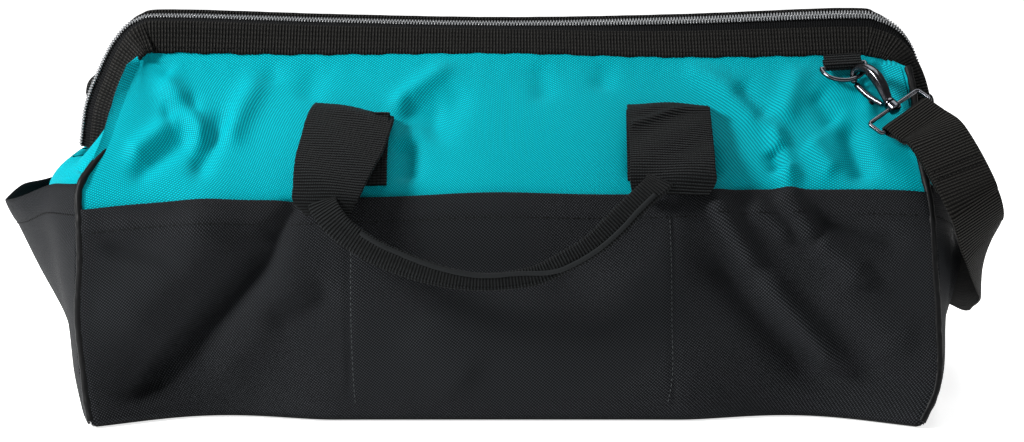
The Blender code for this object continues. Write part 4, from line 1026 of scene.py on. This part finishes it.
# Shares of the binding's width and of half its thickness, from the top over the frame to the edge.
profile = np.array(((0.0, 0.30), (0.015, 0.62), (0.05, 0.88), (0.12, 1.0), (0.22, 0.98), (0.32, 0.86),
                    (0.42, 0.68), (0.56, 0.58), (0.72, 0.55), (0.86, 0.57), (0.96, 0.52), (1.0, 0.30)))
profile = np.concatenate((profile, profile[::-1] * (1, -1)))
pucker = 0.5 * np.sin(length * 2 * np.pi / 0.0113) + np.sin(length * 2 * np.pi / 0.0271 + 1)
pucker = pucker[:, None]
for side, where in SIDES:
    _, _, top, band, _ = mouth(row, side)
    square = square_to(band, along)
    out = np.cross(along, square)
    wide = profile[:, 0] * BINDING_WIDTH + 0.00040 * pucker * (profile[:, 0] > 0.9)
    swell = 0.00028 * pucker * np.sin(profile[:, 0] * np.pi)
    thick = profile[:, 1] * BINDING_FOLD / 2 + swell * np.sign(profile[:, 1])
    grid = top[:, None] + square[:, None] * wide[..., None] + out[:, None] * thick[..., None]
    strip(f"mouth_binding_{where}", grid, binding_webbing, "black_webbing",
          replaces=(f"{where}_binding",), sharp=60)
    outward = towards(out, (0, side, 0))
    line = top + square * BINDING_WIDTH * 0.84 + outward * BINDING_FOLD * 0.29
    stitches(f"mouth_stitches_{where}", line[::2], outward[::2], thread)

# %% [markdown]
# ### Slider
# The slider stands at the foot of the right arm, where the zip is shut. Its plate narrows to both
# ends, and the pull hangs down from it as one bent wire.

# %% Slider and pull
SLIDER_LENGTH, SLIDER_WIDTH, SLIDER_WALL, SLIDER_LIFT = 0.013, 0.0088, 0.0024, 0.0034
PULL_LENGTH, PULL_WIDTH, PULL_WIRE = 0.0085, 0.0068, 0.0008
row = MOUTH_ROWS - 0.55 + np.array((-0.1, 0.0, 0.1))
slide, tape, _, _, _ = mouth(row, -1)
way, flat = tangents(slide)[1], unit(mouth(row, 1)[1][1] - tape[1])
lift = towards(unit(np.cross(way, flat)), (1, 0, 0))
share = np.linspace(-0.5, 0.5, 24)
waist = 1 - 0.45 * np.abs(2 * share) ** 3 - 0.10 * np.exp(-((share - 0.1) / 0.15) ** 2)
path = slide[1] + lift * SLIDER_LIFT + way * share[:, None] * SLIDER_LENGTH
outline = oval(SLIDER_WIDTH * waist, SLIDER_WALL * waist**0.5, 4.0)
strip("zip_slider_body", sections(path, flat, outline), nickel, "dark_metal", replaces=("zip_slider",))
turn = np.linspace(0, 2 * np.pi, 40, endpoint=False)[:, None]
hang = 0.004 + PULL_LENGTH * (1 - np.cos(turn)) / 2
bow = path[12] + lift * 0.0018 - way * hang + flat * np.sin(turn) * PULL_WIDTH / 2
strip("zip_pull", sections(bow, lift, circle(PULL_WIRE, 10), True), nickel, "dark_metal", ring=True)

# %% [markdown]
# ## Handles
# Each handle is one length of 50 mm webbing. A leg is sewn to the wall, turns over its top towards
# the front, and hangs down to a grip that is folded lengthwise. The section changes from flat to a
# thick oval with a lip, where the folded edge lies on top. The turned part of each leg hangs open as
# a flap, and the selvedge of the folded half crosses the grip's face.

# %% The line of a handle
def handle_path(side):
    """The handle's line, width direction, way off the wall, fold share and grip width."""
    columns = {}
    for name in HANDLE_LEFT:
        left, right = np.array(HANDLE_LEFT[name], float), np.array(HANDLE_RIGHT[name][::-1], float)
        left = -left if name == "x" else left
        right = right + 180 if name == "lean" else right
        columns[name] = np.concatenate((left, right))
    count = len(columns["x"])
    at = np.linspace(0, count - 1, 420)
    x, z, out, lean, fold, grip = (smooth(np.arange(count), columns[n], at) for n in HANDLE_LEFT)
    x, z = x * HANDLE_SPREAD, z * HANDLE_FOLD_HEIGHT
    out, fold = np.maximum(out, 0) * HANDLE_WIDTH, np.clip(fold, 0, 1)
    path = wall_at(-side * x, z, side, out + HANDLE_WALL / 2 + 0.0012)
    away = unit(wall_at(-side * x, z, side, 0.0008) - wall_at(-side * x, z, side))
    lean = np.radians(lean)
    across = np.stack((-side * np.cos(lean), 0 * lean, np.sin(lean)), -1)
    return path, square_to(across, away), away, fold, grip / 1000


print("handle length in mm:", round(1000 * walked(handle_path(-1)[0])[-1]))

# %% [markdown]
# ### Band, fold and stitches
# One band is carried along the whole line. The fold's selvedge and the rows of thread on the legs are
# laid on its face.

# %% Webbing, fold and stitches of a handle
FOLDED_WALL = 0.0080


def handle_band(where, path, across, fold, width, thick):
    """A flat oval that grows thick with the fold, drawn in at two angles beside the lip."""
    turn = (np.arange(48) + 0.5) * 2 * np.pi / 48
    lip = sum(np.exp(-((turn - place) / 0.16) ** 2) for place in (2.0, 5.2))
    outline = oval(width, thick, 8.0 - 4.6 * step(fold), 48)
    outline = outline * (1 - 0.16 * fold[:, None] * lip[None])[..., None]
    strip(f"carry_handle_{where}", sections(path, across, outline), handle_webbing, "black_webbing",
          replaces=(f"handle_{where}",), sharp=60)


def grip_fold(side, where, path, across, away, width, thick):
    """The folded half's selvedge: it lies high on one part of the grip, crosses, and runs on low."""
    along = tangents(path)
    wide = square_to(across, along)
    front = towards(np.cross(along, wide), away)
    high = towards(wide, (0, 0, 1))
    rows = slice(150, 290)
    share = np.linspace(0, 1, 140)[:, None]
    place = 0.34 - 0.64 * step((share - 0.42) / 0.22)
    if side > 0:
        place = place[::-1]
    edge = path[rows] + high[rows] * width[rows, None] * place + front[rows] * thick[rows, None] * 0.46
    strip(f"grip_fold_{where}", sections(edge, high[rows], oval(0.0030, 0.0024, 3.0, 16)), selvedge,
          "black_webbing")


def leg_stitches(side, where, path, across, away):
    for leg, rows in (("left", slice(4, 40)), ("right", slice(-41, -4))):
        for edge in (-1, 1):
            aside = across[rows] * edge * (HANDLE_WIDTH / 2 - 0.0032)
            line = path[rows] + aside + away[rows] * HANDLE_WALL * 0.52
            name = f"handle_stitches_{where}_{leg}_{'inner' if edge * side > 0 else 'outer'}"
            stitches(name, line, away[rows], thread, pitch=0.0034)


print("grip, folded, in mm:", round(1000 * FOLDED_WALL, 1))

# %% [markdown]
# ### Flaps
# The webbing that turns over the top of a leg opens into a flap, broader than the band behind it. It
# is a sheet between two edges that are read from the photograph.

# %% The flaps of a handle
def handle_flap(side, where, hand, table):
    """Rows between the two edges of a table, hung in front of the wall and bowed by slow sines. The
    first row curls back to the wall."""
    share = np.linspace(0, 1, 60)[:, None]
    z = table["height"][0] + (table["height"][-1] - table["height"][0]) * share
    outer, inner, out = (smooth(table["height"], table[n], z) for n in ("outer", "inner", "out"))
    t = np.linspace(0, 1, 40)[None]
    bow = 0.0012 * np.sin(np.pi * t) + 0.0008 * np.sin(7 * t + z * 260)
    if hand == "right":  # a crease runs down across its top
        crease = z - 0.1815 + 0.011 * step(1.2 * t - 0.25)
        bow = bow + 0.0022 * np.exp(-(crease / 0.0022) ** 2) * (t < 0.97)
    slant = (0.0075 if hand == "left" else -0.0010) * t * share
    x = (outer + (inner - outer) * t) * -side
    curl = wall_at(x[:1], z[:1] + 0.003, side, out[:1] - 0.006)
    grid = np.concatenate((curl, wall_at(x, z - slant, side, out + bow)))
    cloth(f"handle_flap_{where}_{hand}", grid, handle_webbing, "black_webbing", (0, side, 0),
          HANDLE_WALL)


for side, where in SIDES:
    path, across, away, fold, width = handle_path(side)
    thick = HANDLE_WALL + (FOLDED_WALL - HANDLE_WALL) * fold
    handle_band(where, path, across, fold, width, thick)
    grip_fold(side, where, path, across, away, width, thick)
    leg_stitches(side, where, path, across, away)
    for hand, table in (("left", FLAP_LEFT), ("right", FLAP_RIGHT)):
        handle_flap(side, where, hand, table)

# %% [markdown]
# ## Ring, snap hook and swivel
# The hardware is cast and plated. The CAD wires show where each one runs; here they get round
# sections with a groove on each flat, a turned barrel, a thumb knob on the lever and fine ends. Each
# frame is an origin and three directions that the next piece hangs from.

# %% Hardware frames
RING_LIFT, RING_TURN = math.radians(11), math.radians(12)
HOOK_AIM, HOOK_ROLL, LOOP_AIM = math.radians(33), math.radians(57), math.radians(41)


def ring_frame(side):
    """The bar's middle in the tab, the wall's own directions, and the ring's bar and drop."""
    x = -side * 0.809 * HALF_LENGTH
    row = np.linspace(CORNER_LEFT, CORNER_RIGHT, 400)
    edge = mouth(row, side)[4]
    z = np.interp(x, edge[:, 0], edge[:, 2]) - TAB_DROP
    here = wall_at(x, z, side)
    along = unit(wall_at(x + 1e-3, z, side) - wall_at(x - 1e-3, z, side)) * -side
    down = unit(wall_at(x, z - HOOK_LENGTH / 2, side) - here)
    off = towards(np.cross(along, down), (0, side, 0))
    bar = along * math.cos(RING_TURN) - down * math.sin(RING_TURN)
    drop = down * math.cos(RING_TURN) + along * math.sin(RING_TURN)
    drop = drop * math.cos(RING_LIFT) + off * math.sin(RING_LIFT)
    return here + off * TAB_STAND, along, down, off, bar, drop


def ring_point(side, turn):
    middle, _, _, _, bar, drop = ring_frame(side)
    return (middle + bar * np.cos(turn) * (RING_WIDTH / 2 - RING_WIRE)
            + drop * np.sin(turn) * (RING_DROP - RING_WIRE))


def hook_frame(side):
    """The hook hangs from the ring at 60 degrees of its bow, aimed down and rolled off the wall."""
    _, along, down, off, _, _ = ring_frame(side)
    hold = ring_point(side, math.radians(60))
    up = -unit(along * math.sin(HOOK_AIM) + down * math.cos(HOOK_AIM) + off * 0.05)
    across = along * math.cos(HOOK_AIM) - down * math.sin(HOOK_AIM)
    across = across * math.cos(HOOK_ROLL) + off * math.sin(HOOK_ROLL)
    return hold - up * 0.832 * HOOK_LENGTH + across * 0.065 * HOOK_WIDTH, up, across, np.cross(up, across)


def loop_frame(side):
    origin, up, _, _ = hook_frame(side)
    _, along, down, off, _, _ = ring_frame(side)
    way = unit(along * math.sin(LOOP_AIM) + down * math.cos(LOOP_AIM) + off * 0.10)
    across = unit(np.cross(off, way))
    return origin - up * 0.165 * HOOK_LENGTH + way * LOOP_DROP, across, way, np.cross(way, across)


def hook_line(table, side, count):
    origin, up, across, _ = hook_frame(side)
    at = np.linspace(0, len(table["along"]) - 1, count)
    along, aside, thick = (rows_of(table, n, at) for n in ("along", "across", "thick"))
    line = origin + up * (along * HOOK_LENGTH)[:, None] + across * (aside * HOOK_WIDTH)[:, None]
    return line, thick * HOOK_WIDTH


def turned(name, foot, axis, reference, profile, **more):
    """Circles of each (distance, radius) of a profile along an axis."""
    profile = np.array(profile)
    side = square_to(reference, axis)
    third = np.cross(axis, side)
    turn = np.linspace(0, 2 * np.pi, 32, endpoint=False)
    round_it = side * np.cos(turn)[:, None] + third * np.sin(turn)[:, None]
    grid = foot + axis * profile[:, :1, None] + profile[:, 1:, None] * round_it[None]
    return strip(name, grid, nickel, "dark_metal", sharp=40, **more)


print("ring's bar, mm:", [round(1000 * v) for v in ring_frame(-1)[0]])

# %% [markdown]
# ### Ring and tab
# The ring is half an oval closed by a straight bar, and the tab is webbing turned round that bar.

# %% Ring and tab
def ring_and_tab(side, where):
    middle, along, down, off, bar, drop = ring_frame(side)
    bow = ring_point(side, np.linspace(0, np.pi, 60)[:, None])
    straight = bow[-1] + (bow[0] - bow[-1]) * np.linspace(0, 1, 24)[1:-1, None]
    wire = sections(np.concatenate((bow, straight)), np.cross(bar, drop), circle(RING_WIRE, 14), True)
    strip(f"dee_ring_{where}", wire, nickel, "dark_metal", ring=True, replaces=(f"d_ring_{where}",))

    radius = RING_WIRE + 0.0004 + TAB_WALL / 2
    tab_along = unit(bar * 0.35 + along * 0.65)
    tab_down = towards(unit(np.cross(tab_along, off)), down)
    turn = np.linspace(0, np.pi, 26)[:, None]
    round_bar = middle - off * np.cos(turn) * radius + tab_down * np.sin(turn) * radius
    rise = np.linspace(1, 0, 14)[:-1, None] * -tab_down * (TAB_DROP - 0.002)
    path = np.concatenate((round_bar[:1] + rise, round_bar, round_bar[-1:] + rise[::-1]))
    strip(f"ring_tab_{where}", sections(path, tab_along, oval(TAB_WIDTH, TAB_WALL)), handle_webbing,
          "black_webbing", replaces=(f"d_ring_tab_{where}",))


print("ring and tab, width in mm:", round(1000 * RING_WIDTH), round(1000 * TAB_WIDTH))

# %% [markdown]
# ### Hook, swivel loop and lever
# The hook's wire is thick in its bend. Its barrel is turned, and the strap's loop hangs from it. The
# lever is the one part that moves, so its two pieces ride on its own body.

# %% Hook, swivel and lever
# Distance and radius of the barrel, as shares of the hook's length and width, and of the knob in m.
BARREL = ((-0.275, 0.02), (-0.275, 0.13), (-0.262, 0.22), (-0.24, 0.26), (-0.16, 0.26), (-0.12, 0.255),
          (-0.10, 0.20), (-0.085, 0.19), (-0.07, 0.25), (-0.035, 0.25), (-0.01, 0.21), (0.02, 0.10))
KNOB = ((0.0005, 0.0009), (0.0016, 0.0010), (0.0019, 0.0017), (0.0024, 0.0021), (0.0030, 0.0019),
        (0.0033, 0.0006))


def snap_hook(side, where):
    """A round wire with a groove of exp(-sin^2) on both flats, fine at its free end."""
    origin, up, _, flat = hook_frame(side)
    line, thick = hook_line(HOOK_ARM, side, 120)
    spin = np.linspace(0, 2 * np.pi, 24, endpoint=False)
    groove = 1 - 0.12 * np.exp(-np.sin(spin) ** 2 / 0.05)
    taper = np.minimum(1, 0.35 + 3.2 * np.sqrt(np.linspace(1, 0, 120) * 1.1))
    outline = circle(thick, 24) * groove[None, :, None] * taper[:, None, None]
    strip(f"snap_hook_arm_{where}", sections(line, flat, outline), nickel, "dark_metal",
          replaces=(f"snap_hook_{where}",))
    turned(f"swivel_barrel_{where}", origin, up, flat, np.array(BARREL) * (HOOK_LENGTH, HOOK_WIDTH))


def swivel_loop(side, where):
    """Out from the barrel, round two quarter bends and back under it, then the same mirrored."""
    bar_middle, wide, way, loop_off = loop_frame(side)
    half = LOOP_WIDTH / 2 - LOOP_WIRE
    turn = np.linspace(0, np.pi / 2, 14)
    bend = np.stack((np.sin(turn), np.cos(turn)), -1) * LOOP_BEND
    near = bend + (half - LOOP_BEND, -LOOP_BEND)
    far = bend[::-1] * (1, -1) + (half - LOOP_BEND, LOOP_BEND - LOOP_DROP)
    start, finish = ((HOOK_WIDTH * 0.22, 0.0), (half * 0.6, 0.0)), ((half * 0.5, -LOOP_DROP),)
    right = np.concatenate((start, near, far, finish))
    both = np.concatenate((right, right[::-1] * (-1, 1)))
    points = bar_middle - way * LOOP_DROP + wide * both[:, :1] - way * both[:, 1:]
    strip(f"loop_wire_{where}", sections(points, loop_off, circle(LOOP_WIRE, 14)), nickel,
          "dark_metal", replaces=(f"swivel_loop_{where}",))


for side, where in SIDES:
    ring_and_tab(side, where)
    snap_hook(side, where)
    swivel_loop(side, where)
_, _, across, flat = hook_frame(-1)
line, thick = hook_line(LEVER, -1, 60)
outline = np.stack([oval(2.1 * t, 1.7 * t, 3.0, 20) for t in thick])
strip("snap_lever_arm", sections(line, flat, outline), nickel, "dark_metal", body="snap_lever",
      replaces=("snap_lever",))
turned("snap_lever_knob", line[20], -across, flat, KNOB, body="snap_lever")

# %% [markdown]
# ## Shoulder strap
# The strap turns round the loop's bar and its free end is sewn down behind it. From there it falls
# in one slack curve round the bag's right end and along the back to the other hook.

# %% Strap
STRAP_TURN = LOOP_WIRE + GAP + STRAP_WALL / 2


def strap_line(at):
    """The table's line, drawn onto each loop's bar over 3 rows and straight for the last 1.3 rows."""
    last = len(STRAP["x"]) - 1
    size = (HALF_LENGTH, HALF_DEPTH, BAG_HEIGHT)
    path = np.stack([rows_of(STRAP, n, at) for n in "xyz"], -1) * size
    face = np.stack([rows_of(STRAP, "face_" + n, at) for n in "xyz"], -1)
    ends = np.stack([STRAP[n] for n in "xyz"], -1) * size
    for row, stride, side in ((0, 1, -1), (last, -1, 1)):
        bar, _, way, off = loop_frame(side)
        away = np.abs(at - row)[:, None]
        near = step(1 - away / 3.0)
        start = bar + off * STRAP_TURN
        path = path + (start - ends[row]) * near
        face = face * (1 - near) + off * near
        straight = step(2 * (1 - away / 1.3))
        pace = np.linalg.norm(ends[row + stride] - ends[row])
        path = path + (start + way * pace * away - path) * straight
        face = face + (off - face) * straight
    return path, unit(face)


at = np.linspace(0, len(STRAP["x"]) - 1, 640)
path, face = strap_line(at)
along = tangents(path)
across = unit(np.cross(face, along))
out = np.cross(along, across)
length = walked(path)


def reading(lines, where):
    return read(lines, where, length)


def turned_end(side):
    """The layer behind the strap, from its free end to the bar, and round the bar."""
    far = STRAP_TURNED * np.linspace(1, 0, 70)
    where = far if side < 0 else length[-1] - far
    drop = 2 * STRAP_TURN + (STRAP_WALL + 2 * GAP - 2 * STRAP_TURN) * step(far / (4 * STRAP_TURN))
    layer = reading(path, where) - reading(out, where) * drop[:, None]
    wide = reading(across, where)
    bar, _, way, off = loop_frame(side)
    turn = np.pi * (np.linspace(0, 1, 18)[1:-1, None] - 0.5)
    arc = bar + off * np.sin(turn) * STRAP_TURN - way * np.cos(turn) * STRAP_TURN
    return np.concatenate((layer, arc)), np.concatenate((wide, np.tile(wide[-1], (len(arc), 1))))


head, head_across = turned_end(-1)
tail, tail_across = turned_end(1)
whole = np.concatenate((head, path, tail[::-1]))
wide = np.concatenate((head_across, across, tail_across[::-1]))
strip("long_strap", sections(whole, wide, oval(STRAP_WIDTH, STRAP_WALL, 8.0, 32)), strap_webbing,
      "black_webbing", replaces=("shoulder_strap",), sharp=60)
for index, where in enumerate((0.052, 0.058)):
    spread = np.linspace(-0.44, 0.44, 60)[:, None]
    lift = np.tile(towards(reading(out, where), reading(face, where)), (60, 1))
    line = reading(path, where) + reading(across, where) * STRAP_WIDTH * spread
    stitches(f"strap_stitches_{index + 1}", line + lift * STRAP_WALL * 0.52, lift, thread, pitch=0.003)
print("strap length in mm:", round(1000 * length[-1]))

# %% [markdown]
# ## Floor, light and camera
# A white floor with a weak glow runs on into a pale room, which gives the plain white ground of a
# product picture. One small strong light from the upper left models the folds and makes the metal
# glint. A weak one from the right and a broad one above fill in.

# %% Floor and room
bpy.context.scene.view_settings.view_transform = "Standard"
white, tree, shader = new_material("matt_white_floor", 0.9, colour="#F4F4F4", Specular_IOR_Level=0.1)
shader.inputs["Emission Color"].default_value = (1, 1, 1, 1)
shader.inputs["Emission Strength"].default_value = 0.75
bpy.ops.mesh.primitive_plane_add(size=30, location=(0, 0, -0.0004))
floor = bpy.context.object
floor.name = "floor"
floor.data.materials.append(white)

world = bpy.data.worlds.new("studio")
world.use_nodes = True
world.node_tree.nodes["Background"].inputs["Color"].default_value = (1, 1, 1, 1)
world.node_tree.nodes["Background"].inputs["Strength"].default_value = 0.17
bpy.context.scene.world = world
print("floor and room done")

# %% [markdown]
# ### Lights and camera
# Each lamp is a square that looks at the bag's middle. The camera stands far off with a long lens, so
# that the bag shows hardly any perspective.

# %% Lights and camera
TARGET = Vector((0.003, 0.0, 0.105))
LAMPS = (  # name, place, size in metres, watts
    ("key", (-1.5, -0.55, 1.15), 0.45, 66.0),
    ("fill", (1.7, -1.3, 0.8), 0.8, 5.0),
    ("top", (0.2, 0.5, 2.0), 1.4, 26.0),
)
for name, place, size, power in LAMPS:
    lamp = bpy.data.lights.new(name, "AREA")
    lamp.energy, lamp.size = power, size
    thing = bpy.data.objects.new(name, lamp)
    thing.location = place
    thing.rotation_euler = (TARGET - Vector(place)).to_track_quat("-Z", "Y").to_euler()
    bpy.context.scene.collection.objects.link(thing)

ELEVATION, DISTANCE = math.radians(10), 2.2
SENSOR, FOCAL_WIDTHS = 36, 3370 / 1024  # the focal length in picture widths
camera = bpy.data.objects.new("camera", bpy.data.cameras.new("camera"))
camera.location = TARGET + Vector((0, -math.cos(ELEVATION), math.sin(ELEVATION))) * DISTANCE
camera.rotation_euler = (math.pi / 2 - ELEVATION, 0, 0)
camera.data.sensor_width, camera.data.lens = SENSOR, FOCAL_WIDTHS * SENSOR
bpy.context.scene.collection.objects.link(camera)
bpy.context.scene.camera = camera
print("lights:", len(LAMPS))
